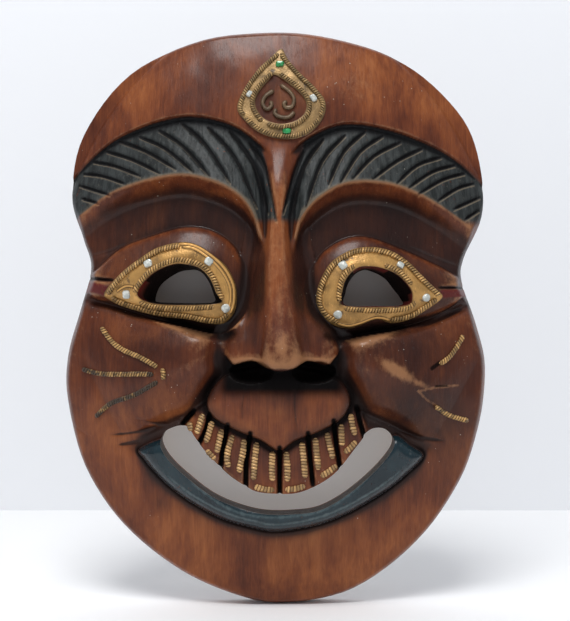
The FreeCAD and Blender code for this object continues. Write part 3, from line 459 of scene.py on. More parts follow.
# dark lines: painted shade in the grooves at the outer eye corners, and traces of lost beading on the right
# cheek
for dark_line, dark_width, dark_amount in (
        ([(-104, 20.2), (-82, 18.4)], 1.2, 0.8), ([(80, 14.5), (106, 14.6)], 0.9, 0.7),
        ([(80, -22.5), (76, -25)], 1.3, 0.9), ([(78, -34), (84, -34)], 0.8, 0.8)):
    mark(black_and_shade, dark_line, dark_width, dark_amount)
# black along the lip's lower edge and the muzzle's lower edge: painted shade
black_and_shade = np.maximum(black_and_shade, 0.9 * ramp(1.6, 0.2, abs(lip_depth + 0.6)) * ramp(-62, -66, GV))
black_and_shade = np.maximum(black_and_shade, 0.8 * ramp(3.5, 0.4, abs(muzzle_depth + 1.2)) * ramp(-22, -30, GV))
# black in the nostrils: painted shade
for nostril_x, nostril_v in NOSTRILS:
    off = root(((GX - nostril_x) / NOSTRIL_HALF[0]) ** 2 + ((GV - nostril_v) / NOSTRIL_HALF[1]) ** 2)
    black_and_shade = np.maximum(black_and_shade, 0.95 * ramp(1.25, 0.55, off))
# black under the nose, down onto the muzzle: painted shadow of the nose
shadow_under_nose = ramp(0.6, -0.6, GV - along(NOSE_BOTTOM, GX)) * ramp(-41.5, -34, GV) * ramp(35, 26, abs(GX - 2.5))
black_and_shade = np.maximum(black_and_shade, shadow_under_nose)

# painted shade on the sides of the nose and under the brow ridge in the eye sockets, added to the soot below
nose_across = abs(GX - along(NOSE_LEAN, GV)) / along(NOSE_HALF, GV)
nose_side = ramp(0.25, 0.5, nose_across) * ramp(1.3, 1.0, nose_across) * ramp(-19, -8, GV) * ramp(52, 36, GV)
socket = ramp(2.0, 8.5, ridge_v - GV) * ramp(1.0, -0.5, lid_depth) * ramp(0, 9, GV) * beside_nose
in_crest = ramp(-1, 1, inside(spline(CREST_OPENING, True), GX, GV))
# darkening: soot, and painted shade in the sockets, on the nose's sides and along the muzzle's edge
soot_and_shade = clamp(socket * (1.0 - 0.30 * far_out * ramp(20, -20, GX)) + (0.66 - 0.20 * ramp(0, 4, GX)) * nose_side
             + 0.55 * ramp(0, 4, lid_depth) + patches(abs(GX), SOOTY_CHEEKS) + patches(GX, SOOTY_AND_SHADOWED)
             + 0.55 * ramp(6, 1, abs(muzzle_depth)) * ramp(-62, -54, GV) + 0.55 * in_crest)

cavity *= 1 - 0.6 * socket
worn_ridge = bell((GV - ridge_v + 0.5) / 0.8) * beside_nose * (0.22 + 0.5 * bell((abs(GX) - 20) / 12))
mark(wear_and_highlight, [(-27, -13), (-23, -19.5), (-18, -20), (-11, -18.5), (-6, -20.5), (2, -22), (8, -20.5), (14, -18),
            (22, -20), (28, -15)], 3.0, 0.42, 0.9)
mark(wear_and_highlight, [(70, -36), (78, -34.5), (90, -34)], 0.9, 0.5)
mark(wear_and_highlight, [(69, -36), (73, -40), (79, -44)], 0.9, 0.5)
# painted highlight down the nose bridge
mark(wear_and_highlight, [(0, 42), (0, 20), (1, 0)], 4.0, 0.26, 0.95)
wear_and_highlight *= 1 - 0.85 * ramp(-1, 1, muzzle_depth)
# pale places: rubbed by handling, and painted highlight on the nose and cheeks
for rub, rub_x, rub_v, rub_width, rub_height, rub_slope in RUBBED_AND_HIGHLIT:
    across_rub = GV - rub_v - rub_slope * (GX - rub_x)
    wear_and_highlight = np.maximum(wear_and_highlight, rub * bell((GX - rub_x) / rub_width) * bell(across_rub / rub_height))
scuffed = patches(GX, [(0.30, 40, 116, 12, 10)]) + 0.22 * ramp(136, 143, GV)
wear_and_highlight = np.maximum(np.maximum(wear_and_highlight, worn_ridge), scuffed) * (1 - 0.5 * clamp(cavity * 1.5))
# painted highlight along the middle of the lip
wear_and_highlight = np.maximum(wear_and_highlight * (1 - lip), 0.52 * lip * bell((lip_depth - 4.9) / 0.9) * ramp(-68, -84, GV))
warm = clamp(0.95 * ramp(-78, -108, GV) * (1 - lip) + 0.60 * ramp(-1, 2, muzzle_depth)
             + 0.40 * ramp(95, 110, GV) + patches(abs(GX), [(0.75, 55, -44, 22, 13)])
             + patches(GX, [(0.95, 1, 30, 8, 40)]))


# ---- meshes -------------------------------------------------------------------------------------
def nearest_on(loops, points):
    """Nearest place on any closed loop: (point, loop number, segment number, share of the segment)."""
    best = np.full(len(points), np.inf)
    spot = points.copy()
    where = np.zeros((len(points), 3))
    for number, loop in enumerate(loops):
        for i, (a, b) in enumerate(zip(loop, loop[1:] + loop[:1])):
            a, b = np.array(a), np.array(b)
            t = clamp(((points - a) @ (b - a)) / ((b - a) @ (b - a)))
            foot = a + t[:, None] * (b - a)
            gap = ((points - foot) ** 2).sum(1)
            closer = gap < best
            best = np.where(closer, gap, best)
            spot[closer] = foot[closer]
            where[closer, 0], where[closer, 1], where[closer, 2] = number, i, t[closer]
    return spot, where


def clipped_sheet(outer, holes, xs, vs):
    """Grid of quads cut to an outline with holes: (points, quads, border loops)."""
    x, v = np.meshgrid(xs, vs)
    step = xs[1] - xs[0]
    depth = inside(outer, x, v)
    for hole in holes:
        depth = np.minimum(depth, -inside(hole, x, v))
    core = depth > 0.35 * step
    quad = core[:-1, :-1] | core[:-1, 1:] | core[1:, 1:] | core[1:, :-1]
    number = np.arange(x.size).reshape(x.shape)
    quads = np.stack([corner[quad] for corner in (number[:-1, :-1], number[:-1, 1:], number[1:, 1:],
                                                  number[1:, :-1])], 1)
    used, quads = np.unique(quads, return_inverse=True)
    quads = quads.reshape(-1, 4)
    points = np.stack([x.ravel()[used], v.ravel()[used]], 1)
    loose = ~core.ravel()[used]
    points[loose] = nearest_on([outer] + holes, points[loose])[0]
    starts = quads.ravel()
    ends = np.roll(quads, -1, axis=1).ravel()
    keys, back_keys = starts * len(used) + ends, ends * len(used) + starts
    single = ~np.isin(keys, back_keys)
    following = dict(zip(starts[single].tolist(), ends[single].tolist()))
    loops = []
    while following:
        start = next(iter(following))
        loop = [start]
        after = following.pop(start)
        while after != start and after in following:
            loop.append(after)
            after = following.pop(after)
        if len(loop) > 8:
            loops.append(np.array(loop))
    return points, quads, loops


def bridge(ring_a, ring_b):
    """Quads between two rings of the same length."""
    return np.stack([ring_a, ring_b, np.roll(ring_b, -1), np.roll(ring_a, -1)], 1)


def new_object(name, verts, faces, material, smooth=True, sharp=None, paints=()):
    mesh = bpy.data.meshes.new(name)
    mesh.from_pydata((np.asarray(verts) * MM).tolist(), [], [list(map(int, face)) for face in faces])
    mesh.validate()
    mesh.update()
    mesh.polygons.foreach_set("use_smooth", [smooth] * len(mesh.polygons))
    for title, values in paints:
        layer = mesh.attributes.new(title, "FLOAT_COLOR", "POINT")
        layer.data.foreach_set("color", np.asarray(values, float).ravel())
    if sharp is not None and len(sharp):
        ends = np.zeros(len(mesh.edges) * 2, int)
        mesh.edges.foreach_get("vertices", ends)
        ends = np.sort(ends.reshape(-1, 2), 1)
        wanted = np.sort(np.asarray(sharp), 1)
        size = len(verts)
        mesh.attributes.new("sharp_edge", "BOOLEAN", "EDGE").data.foreach_set(
            "value", np.isin(ends[:, 0] * size + ends[:, 1], wanted[:, 0] * size + wanted[:, 1]))
    mesh.materials.append(material)
    piece = bpy.data.objects.new(name, mesh)
    bpy.context.scene.collection.objects.link(piece)
    return piece


def ring_edges(ring):
    return np.stack([ring, np.roll(ring, -1)], 1)


def inset(points, distance):
    """A closed ring of points moved inward, for a ring that runs with its inside on the left."""
    ahead, behind = np.roll(points, -3, 0), np.roll(points, 3, 0)
    along_ring = ahead - behind
    along_ring /= np.linalg.norm(along_ring, axis=1)[:, None] + 1e-9
    return points + distance * np.stack([-along_ring[:, 1], along_ring[:, 0]], 1)


def placed(points, heights):
    """Real vertices from pattern points and heights above the wall."""
    return np.stack([points[:, 0] * ACROSS, -np.asarray(heights), (points[:, 1] - HANG_HEIGHT) * UP], 1)


RIM, SLOT, LEFT_EYE, RIGHT_EYE = range(4)
HOLE_WALL_ROWS = (0.08, 0.4, 0.75, 0.93, 1.0)   # shares of the way from the front to the hollow
BACK_EDGE = (0.7, 0.8)                          # bevel at the wall: inward, forward
BACK_RIM = 13.0                                 # flat band around the hollow
BACK_SPACING = 2.1                              # grid of the hollow
SLOT_MIDDLE = [(-58, -58), (-45, -68), (0, -91), (45, -70), (58, -58)]


def hole_paint(kind, spots, share, a, b):
    """Paint on the wall of an opening, at a share of its depth."""
    a, b = a.copy(), b.copy()
    x, v = spots[:, 0], spots[:, 1]
    # cavity on the walls of an opening: grime and painted shade
    a[:, 0] = 0.25
    if kind == SLOT:
        lower = v < along(SLOT_MIDDLE, x)
        painted = share < 0.9
        a[:, 1] = np.where(share > 0.9, 0.55, 0.0) * lower
        b[:, 1] = np.where(lower, 0.6 * painted, 0.0)
        b[:, 3] = np.where(lower, 0.82 * painted, 0.75)
        return a, b
    at_corner = (x < -65) | ((x > 61) & (v < 12))
    at_floor = (kind == RIGHT_EYE) & (v < 8)
    at_crown = (kind == RIGHT_EYE) & (v > 23) & (share < 0.5)
    reddened = at_floor | (at_corner & (share < 0.3)) | at_crown
    b[:, 2] = np.where(reddened, 0.9, 0.0)
    b[:, 3] = np.where(reddened, 0.0, 0.96)
    return a, b


def build_body(material):
    """The carved front, the walls of its rim and openings, and the gouged back, as one closed mesh."""
    slot = spline(MOUTH_SLOT, True, 4)
    holes, backs = ([slot] + [spline(eye_hole[face], True) for eye_hole in (LEFT_EYE_HOLE, RIGHT_EYE_HOLE)]
                    for face in (0, 1))
    points, quads, loops = clipped_sheet(OUTLINE, holes, grid_x, grid_v)
    verts = [placed(points, OUT * sample(carved, points[:, 0], points[:, 1]))]
    fields_a = [np.stack([sample(f, points[:, 0], points[:, 1]) for f in (cavity, wear_and_highlight, soot_and_shade, warm)], 1)]
    fields_b = [np.stack([sample(f, points[:, 0], points[:, 1]) for f in (brow, lip, red, black_and_shade)], 1)]
    faces = [quads]
    sharp = []
    count = len(points)
    back_rings = []

    def add(spots, heights, a, b):
        nonlocal count
        verts.append(placed(spots, heights))
        fields_a.append(a)
        fields_b.append(b)
        numbers = np.arange(count, count + len(spots))
        count += len(spots)
        return numbers

    for ring in loops:
        spots = points[ring]
        top = OUT * sample(carved, spots[:, 0], spots[:, 1])
        a, b = fields_a[0][ring].copy(), fields_b[0][ring].copy()
        sharp.append(ring_edges(ring))
        _, where = nearest_on([OUTLINE] + holes, spots)
        kind = int(np.median(where[:, 0]))
        rows = [ring]
        if kind == RIM:
            # cavity on the rim wall: grime and painted shade
            a[:, 0] = 0.1
            b[:, 0] *= 0.5
            rows.append(add(spots, 0.45 * top, a, b))
            rows.append(add(spots, np.full(len(ring), BACK_EDGE[1]), a, b))
            low = inset(spots, BACK_EDGE[0])
            rows.append(add(low, np.zeros(len(ring)), a, b))
            back_rings.append((rows[-1], low))
        else:
            line = np.array(backs[kind - 1])
            first = where[:, 1].astype(int)
            low = line[first] + where[:, 2:3] * (line[(first + 1) % len(line)] - line[first])
            floor = gouge(low[:, 0], low[:, 1])
            for share in HOLE_WALL_ROWS:
                spot = spots + (low - spots) * share
                rows.append(add(spot, top + (floor - top) * share, *hole_paint(kind, spots, share, a, b)))
            back_rings.append((rows[-1], low))
        faces += [bridge(upper, lower_row) for upper, lower_row in zip(rows, rows[1:])]
        sharp.append(ring_edges(rows[-1]))

    # gouged back: rim band, step, and scooped hollow
    rim = inset(np.array(OUTLINE)[::-1], -BACK_RIM)
    if inside(OUTLINE, rim[:1, 0], rim[:1, 1])[0] < 0:
        rim = inset(np.array(OUTLINE)[::-1], BACK_RIM)
    rim = np.array(spline([tuple(p) for p in rim[::4]], True, 3))
    shelf = rim * (1 - 0.9 / np.linalg.norm(rim, axis=1))[:, None]
    bx, bv = np.meshgrid(np.arange(-98, 98, BACK_SPACING), np.arange(-136, 136, BACK_SPACING))
    inner = np.stack([bx.ravel(), bv.ravel()], 1) + rng.uniform(-0.35, 0.35, (bx.size, 2))
    clear = inside([tuple(p) for p in shelf], inner[:, 0], inner[:, 1]) > 1.0
    for hole in backs:
        clear &= inside(hole, inner[:, 0], inner[:, 1]) < -1.0
    inner = inner[clear]

    def add_bare(spots, heights):
        bare = np.tile([0.12, 0.1, 0.0, -1.0], (len(spots), 1))
        return add(spots, heights, bare, np.zeros((len(spots), 4)))

    rim_ring = add_bare(rim, np.zeros(len(rim)))
    shelf_ring = add_bare(shelf, gouge(shelf[:, 0], shelf[:, 1]))
    scoop = 0.5 * abs(np.sin(inner[:, 0] / 3.1 + 1.3 * np.sin(inner[:, 1] / 17)) * np.cos(inner[:, 1] / 5.2))
    smooth_pad = 1 - on_pad(inner[:, 0], inner[:, 1])
    inner_ring = add_bare(inner, gouge(inner[:, 0], inner[:, 1]) - scoop * smooth_pad)
    numbers = np.concatenate([ring for ring, _ in back_rings] + [rim_ring, shelf_ring, inner_ring])
    places = np.concatenate([low for _, low in back_rings] + [rim, shelf, inner])
    edges = []
    start = 0
    for ring in [r for r, _ in back_rings] + [rim_ring, shelf_ring]:
        local = np.arange(start, start + len(ring))
        edges += ring_edges(local).tolist()
        start += len(ring)
    _, _, triangles, source, _, _ = delaunay_2d_cdt([Vector(p) for p in places.tolist()], edges, [], 0, 1e-7)
    first_source = np.array([s[0] if s else -1 for s in source])
    triangles = first_source[np.array(triangles)]
    triangles = triangles[(triangles >= 0).all(1)]
    middle = places[triangles].mean(1)
    keep = inside(OUTLINE, middle[:, 0], middle[:, 1]) > 0
    for hole in backs:
        keep &= inside(hole, middle[:, 0], middle[:, 1]) < 0
    outer_ring = max((low for _, low in back_rings), key=len)
    keep &= inside([tuple(p) for p in outer_ring[::2]], middle[:, 0], middle[:, 1]) > -0.02
    faces.append(numbers[triangles[keep]])
    sharp += [ring_edges(rim_ring), ring_edges(shelf_ring)]
    every_face = [face for group in faces for face in group.tolist()]
    return new_object("carved_mask", np.concatenate(verts), every_face, material, sharp=np.concatenate(sharp),
                      paints=[("paint_a", np.concatenate(fields_a)), ("paint_b", np.concatenate(fields_b))])


# ---- applied trim -------------------------------------------------------------------------------
def resampled(line, spacing):
    """Evenly spaced real points along a real open line, and its length."""
    line = np.asarray(line)
    lengths = np.linalg.norm(np.diff(line, axis=0), axis=1)
    run = np.concatenate([[0], np.cumsum(lengths)])
    count = max(4, int(run[-1] / spacing) + 1)
    at = np.linspace(0, run[-1], count)
    return np.stack([np.interp(at, run, line[:, 0]), np.interp(at, run, line[:, 1])], 1), at


def plate_seat(x, z):
    return height(x, z) + 2 * GLUE_GAP + PLATE_THICKNESS


def wood_seat(x, z):
    return height(x, z) + GLUE_GAP


SMOOTH_PITCH = 2.4          # stands in for the pitch of a strip without beads
ROWS_PER_BEAD = 8
STRIP_ANGLES = np.radians([0, 22, 48, 72, 90, 108, 132, 158, 180])


def leftward(line):
    """Unit steps to the left of an open line, at each of its points."""
    heading = np.gradient(line, axis=0)
    heading /= np.linalg.norm(heading, axis=1)[:, None]
    return np.stack([-heading[:, 1], heading[:, 0]], 1)


def bead_strip(name, line, seat, material, width, rise, pitch, slant=0.35, notch=0.60, waist=0.30,
               fullness=0.6, dirt=0.0):
    """Moulded bead laid on a seat: a half-round strip cut by slanting notches, or smooth without a pitch."""
    centres, at = resampled(line, (pitch or SMOOTH_PITCH) / ROWS_PER_BEAD)
    side = -leftward(centres)
    angles = STRIP_ANGLES
    reach, lift = np.cos(angles), np.sin(angles) ** fullness
    if pitch:
        turn = (at[:, None] + slant * reach[None, :] * width * 0.5) / pitch + rng.uniform()
        bead = np.floor(turn).astype(int)
        vary = rng.normal(0, 1, bead.max() - bead.min() + 3)[bead - bead.min()]
        swell = 1 - np.abs(2 * (turn % 1.0) - 1) ** 2.2
        size = (1 - notch) + notch * swell + 0.05 * vary * swell
        breadth = (1 - 0.35 * waist) + 0.35 * waist * swell + 0.03 * vary
    else:
        vary = np.zeros((len(at), len(angles)))
        swell = np.ones((len(at), len(angles)))
        wobble = np.interp(at, np.linspace(0, at[-1], 9), rng.normal(0, 0.05, 9))[:, None]
        size, breadth = swell + wobble, swell - wobble
    ends = root(clamp(np.minimum(at, at[-1] - at) / (0.45 * width) + 0.15))[:, None]
    lateral = 0.5 * width * reach[None, :] * breadth * ends
    px = centres[:, 0:1] + side[:, 0:1] * lateral
    pz = centres[:, 1:2] + side[:, 1:2] * lateral
    top = seat(px, pz) + rise * lift[None, :] * size * ends
    verts = np.stack([px, -top, pz], 2).reshape(-1, 3)
    rows, columns = px.shape
    number = np.arange(rows * columns).reshape(rows, columns)
    quads = np.stack([number[:-1, :-1], number[1:, :-1], number[1:, 1:], number[:-1, 1:]], 2).reshape(-1, 4)
    under = np.stack([number[:-1, -1], number[1:, -1], number[1:, 0], number[:-1, 0]], 1)
    faces = quads.tolist() + under.tolist() + [number[0, ::-1].tolist(), number[-1].tolist()]
    soil = clamp(dirt + 0.25 * blur(rng.normal(size=(rows, 1)), 12)[:, :1] * 6 * dirt) * np.ones((1, columns))
    low = 1 - np.sin(angles)[None, :] ** 0.7
    # first channel: lower between beads and on the strip's low sides, for painted shade there
    paint = np.stack([swell * (1 - 0.06 * low), 0.5 + 0.18 * vary, np.broadcast_to(soil, swell.shape),
                      np.ones(swell.shape)], 2)
    borders = [number[:, 0], number[:, -1], number[0], number[-1]]
    sharp = np.concatenate([np.stack([border[:-1], border[1:]], 1) for border in borders])
    return new_object(name, verts, faces, material, sharp=sharp, paints=[("paint_a", paint.reshape(-1, 4))])


def moved_line(points, sideways):
    """Real smooth line through pattern points, moved to the left of its direction."""
    line = np.array([real(p) for p in spline(points)])
    return line + sideways * leftward(line)


def plate(name, outer, hole, material, raised=(), step=0.55, dents=0.10):
    """Thin gilt sheet that follows the carving, with hand-pressed dents and raised folds."""
    outline = spline(outer, True, 6)
    opening = spline(hole, True, 6)
    xs = np.arange(min(p[0] for p in outline) - 2, max(p[0] for p in outline) + 2, step)
    vs = np.arange(min(p[1] for p in outline) - 2, max(p[1] for p in outline) + 2, step)
    points, quads, loops = clipped_sheet(outline, [opening], xs, vs)
    x, v = points[:, 0], points[:, 1]
    low = height(x * ACROSS, (v - HANG_HEIGHT) * UP) + GLUE_GAP
    edge = np.minimum(inside(outline, x, v), -inside(opening, x, v))
    top = low + PLATE_THICKNESS * (0.55 + 0.45 * ramp(0, 0.8, edge))
    bumps = blur(rng.normal(size=(60, 90)), 2.2)
    bumps /= bumps.std()
    u = (points - points.min(0)) / (points.max(0) - points.min(0) + 1e-6)
    bump = bumps[(u[:, 1] * 58).astype(int), (u[:, 0] * 88).astype(int)]
    smooth_bump = dents * bump * ramp(0, 1.5, edge)
    fold = np.zeros(len(points))
    for line, rise, width in raised:
        gap, share = place_on(spline(line), x, v)
        ends = root(clamp(share / 0.06)) * root(clamp((1 - share) / 0.06))
        fold = np.maximum(fold, rise * bell(gap / width) ** 1.3 * ends)
    top = top + 0.5 * smooth_bump + fold
    count = len(points)
    verts = np.concatenate([placed(points, top), placed(points, low)])
    faces = quads.tolist() + (quads[:, ::-1] + count).tolist()
    sharp = []
    for ring in loops:
        faces += bridge(ring, ring + count).tolist()
        sharp.append(ring_edges(ring))
    paint = np.stack([clamp(edge / 1.6), clamp(0.5 + 0.2 * bump), clamp(fold), np.ones(count)], 1)
    return new_object(name, verts, faces, material, sharp=np.concatenate(sharp),
                      paints=[("paint_a", np.concatenate([paint, paint]))])


CHIP_RISE = 1.5
CHIP_SINK = 0.25
CHIP_PROFILE = ((0, 1.0), (0.45, 1.0), (0.72, 0.95), (0.9, 0.84), (1.0, 0.66), (1.04, 0.3))  # height, size
LEAN_REACH = 1.2            # the seat's slope is taken over this much each way


def chip(name, at, width, length, turn, material):
    """Glass chip: bevelled and slightly uneven when it has a length, otherwise a round cabochon."""
    x, z = real(at)
    lean = (plate_seat(x + LEAN_REACH, z) - plate_seat(x - LEAN_REACH, z)) / (2 * LEAN_REACH)
    pitch = (plate_seat(x, z + LEAN_REACH) - plate_seat(x, z - LEAN_REACH)) / (2 * LEAN_REACH)
    slope = Vector((-lean, -1, -pitch)).normalized()
    across = Vector((math.cos(math.radians(turn)), 0, math.sin(math.radians(turn))))
    across = (across - slope * across.dot(slope)).normalized()
    up = slope.cross(across)
    base = Vector((x, -plate_seat(x, z), z)) - slope * CHIP_SINK
    verts, faces = [], []
    if length is None:
        sides, levels = 28, 8
        for level in range(levels):
            angle = math.radians(90 * level / levels)
            for k in range(sides):
                a = 2 * math.pi * k / sides
                radius = 0.5 * width * math.cos(angle) * (1 + 0.03 * math.sin(3 * a + x))
                verts.append(base + across * radius * math.cos(a) + up * radius * math.sin(a)
                             + slope * CHIP_RISE * math.sin(angle) ** 0.9)
        verts.append(base + slope * CHIP_RISE)
        rings = levels
    else:
        sides = 16
        cuts = rng.uniform(0.9, 1.06, 4)
        for share, size in CHIP_PROFILE:
            for k in range(sides):
                a = 2 * math.pi * (k + 0.5) / sides
                c, s = math.cos(a), math.sin(a)
                square = 1 / max(abs(c), abs(s)) ** 0.86 * cuts[int(k * 4 / sides)]
                verts.append(base + across * (0.5 * width * size * c * square)
                             + up * (0.5 * length * size * s * square) + slope * CHIP_RISE * share)
        verts.append(base + slope * CHIP_RISE * 1.05)
        rings = len(CHIP_PROFILE)
    for ring in range(rings - 1):
        for k in range(sides):
            n = (k + 1) % sides
            faces.append((ring * sides + k, ring * sides + n, (ring + 1) * sides + n, (ring + 1) * sides + k))
    last, top = (rings - 1) * sides, len(verts) - 1
    faces += [(last + k, last + (k + 1) % sides, top) for k in range(sides)]
    faces.append(tuple(range(sides - 1, -1, -1)))
    return new_object(name, [tuple(p) for p in verts], faces, material, smooth=length is None)


LEFT_PLATE = [(-86, 12), (-77, 22), (-68, 29), (-59, 34.5), (-47, 37), (-39, 35.5), (-32, 31), (-25, 25),
              (-20.5, 16), (-20, 7), (-22, 1), (-27, -3.2), (-35, -3), (-45, -1), (-60, 0.6), (-77, 5.2),
              (-84, 8.6)]
RIGHT_PLATE = [(82, 10.5), (78, 14.3), (71.5, 20.7), (64.7, 27.7), (56.7, 32.7), (48, 34.6), (39, 34),
               (32, 31), (26, 26.5), (22, 20), (19.5, 13), (19.5, 6), (23, 0), (28, -4), (35, -5.5), (41, -4),
               (49, -1), (57, -3), (66, -1), (73, 3), (79, 7)]
EYE_BEADS = {
    # side, name: (points, side of the edge it lies on)
    ("left", "outer_upper"): ([(-85, 12), (-77, 21.5), (-68, 28.5), (-59, 34), (-48, 36.5)], -1),
    ("left", "outer_lower"): ([(-83, 8.6), (-77, 5.5), (-60, 0.9), (-45, -0.7), (-35, -2.7), (-28, -2.8),
                               (-23.5, 0.5)], 1),
    ("left", "inner_upper"): ([(-69.5, 11.5), (-65, 18.5), (-59, 23.5), (-51, 26.7), (-45, 26.7), (-38, 24.6),
                               (-32.6, 19.5), (-29.4, 12.2), (-27.6, 8.2)], 1),
    ("left", "inner_lower"): ([(-67.5, 8.4), (-62, 6.2), (-47, 5.2), (-31, 6.1)], -1),
    ("right", "outer_upper"): ([(81, 11.5), (77.5, 14.5), (71.5, 20.4), (64.7, 27.4), (56.7, 32.4),
                                (48, 34.3), (39, 33.7), (32.2, 30.7), (26.3, 26.2), (22.3, 19.8),
                                (19.8, 13), (19.8, 6), (23.2, 0.3), (29, -3.6)], 1),
    ("right", "outer_lower"): ([(56, -2.7), (66, -0.7), (73, 3.3), (79.5, 8)], 1),
    ("right", "inner_nose"): ([(31.6, 7.6), (31.4, 13), (33.4, 19.5), (38.6, 24.7)], 1),
    ("right", "inner_outer"): ([(52.4, 24.6), (59.4, 21.6), (65.4, 15.4)], 1),
    ("right", "inner_lower"): ([(33, 5.2), (49, 4.2), (63, 5.2), (67, 8.4)], -1),
}
EYE_CHIPS = {
    "left": [((-63.5, 26.3), 4.3, 3.9, 20), ((-33.5, 27.2), 4.3, 4.0, -35), ((-74.5, 11.3), 3.8, 4.4, 5),
             ((-25.2, 4.4), 4.6, None, 0)],
    "right": [((32.3, 25.3), 4.3, 4.3, 35), ((60.6, 25.7), 3.0, 3.8, 58), ((73.5, 9.6), 4.2, None, 0),
              ((29.7, 1.3), 4.4, None, 0)],
}
CREST_PLATE = [(2, 135), (-3, 130.5), (-8, 126), (-12, 121), (-17, 113), (-20, 104), (-16, 97.5), (-8, 91),
               (4, 88), (15, 90.5), (22.5, 98.5), (24, 107), (19, 114.5), (11.5, 122), (5.5, 129)]
CREST_BEADS = {
    "left": ([(-0.2, 133), (-7.5, 126), (-11.8, 121), (-16.8, 113), (-19.6, 104.5), (-17.5, 99.8)], 1),
    "right": ([(2.6, 133), (5.2, 129), (11.2, 122), (18.7, 114.5), (23.6, 107), (22.4, 99.5)], -1),
    "bottom": ([(-16.4, 98), (-8, 91.4), (4, 88.4), (14.7, 90.9), (21.4, 97.6)], 1),
    "inner_left": ([(-1.6, 121.4), (-4.9, 118.4), (-9.6, 112.8), (-11.6, 107.5), (-10.5, 102.8),
                    (-6.8, 98.1)], -1),
    "inner_right": ([(0.6, 120.8), (7.9, 115.5), (13.5, 109.8), (15.1, 105), (13.4, 100.2), (9.2, 96.9),
                     (4, 95.4), (-1.2, 95.7), (-4.8, 96.9)], 1),
}
SCROLLS = {
    "stem": [(1.5, 116), (6, 112.5), (8.3, 108.5), (7.3, 104.8), (4.4, 104.2), (3.2, 106.2), (4.9, 107.4)],
    "foot": [(8.6, 102), (5.6, 99.3), (1.4, 99.4), (-1.3, 101.3), (-0.4, 103.6)],
    "side": [(-1.8, 113), (-6, 110), (-7.3, 106.3), (-5.2, 103.4), (-2.9, 105.2), (-3.6, 107.6)],
}
CREST_CHIPS = {"top": ((1.2, 126.6), 4.4, 3.0, 0), "bottom": ((4.6, 91.9), 4.4, 2.8, 0),
               "left": ((-13.9, 111.1), 2.6, 3.4, -32), "right": ((17.9, 108.95), 3.0, 3.8, 33)}
WHISKERS = {
    # points, dirt
    "left_whisker_upper": ([(-88, -5), (-82, -12), (-76, -16), (-67, -19.5), (-58, -24)], 0.25),
    "left_whisker_middle": ([(-98, -26), (-89, -28), (-77, -28), (-68, -27.6), (-60, -27.6)], 0.45),
    "left_whisker_lower": ([(-91, -50), (-83, -43), (-70, -38), (-62, -33.5), (-58, -31.2)], 0.65),
    "left_whisker_link": ([(-55.8, -24.6), (-55, -27.5), (-55.4, -30.2)], 0.4),
    "right_whisker_upper": ([(93, -9), (90, -14), (85, -20), (80, -23)], 0.15),
    "right_whisker_lower": ([(78, -44), (86, -49), (96, -52)], 0.35),
}
TEETH = {
    "1_left": [(-43.4, -51.5), (-42.6, -56)],
    "1_right": [(-36.6, -47.5), (-38.2, -52.5), (-39.6, -57.3)],
    "2_left": [(-31.9, -51), (-33.6, -57), (-35.2, -61.5)],
    "2_right": [(-27.1, -54.8), (-28.6, -61.5), (-29.6, -66.4)],
    "2_bottom": [(-34.8, -65.2), (-30.4, -69.8)],
    "3_left": [(-21.8, -57.5), (-23.8, -64), (-24.6, -69.6), (-23.6, -73.4)],
    "3_right": [(-16.3, -59.5), (-16.6, -65), (-18, -72), (-18.6, -76)],
    "4_left": [(-10, -61), (-11, -70), (-11.6, -79.6)],
    "4_right": [(-2.3, -65.6), (-2.6, -74), (-2.2, -80)],
    "4_bottom": [(-11.2, -82.9), (-6, -84.3), (-1.4, -84.6)],
    "5_left": [(4.4, -65.6), (5, -74), (5, -80.2)],
    "5_right": [(12, -61), (13, -70), (13.7, -78.6)],
    "5_bottom": [(4, -84.4), (9, -84), (13.7, -82.6)],
    "6_left": [(18.6, -59), (19.4, -67), (20.2, -74.6)],
    "6_right": [(24.3, -56.5), (26, -63.5), (27.4, -69.4)],
    "6_bottom": [(21.4, -78), (25, -75.9), (29.3, -72.7)],
    "7_left": [(31.4, -52.5), (31.6, -58.5), (32, -63)],
    "7_right": [(36, -47.5), (37.2, -54), (38.4, -58)],
    "7_bottom": [(33, -66.4), (36, -64.2), (38.8, -61)],
}


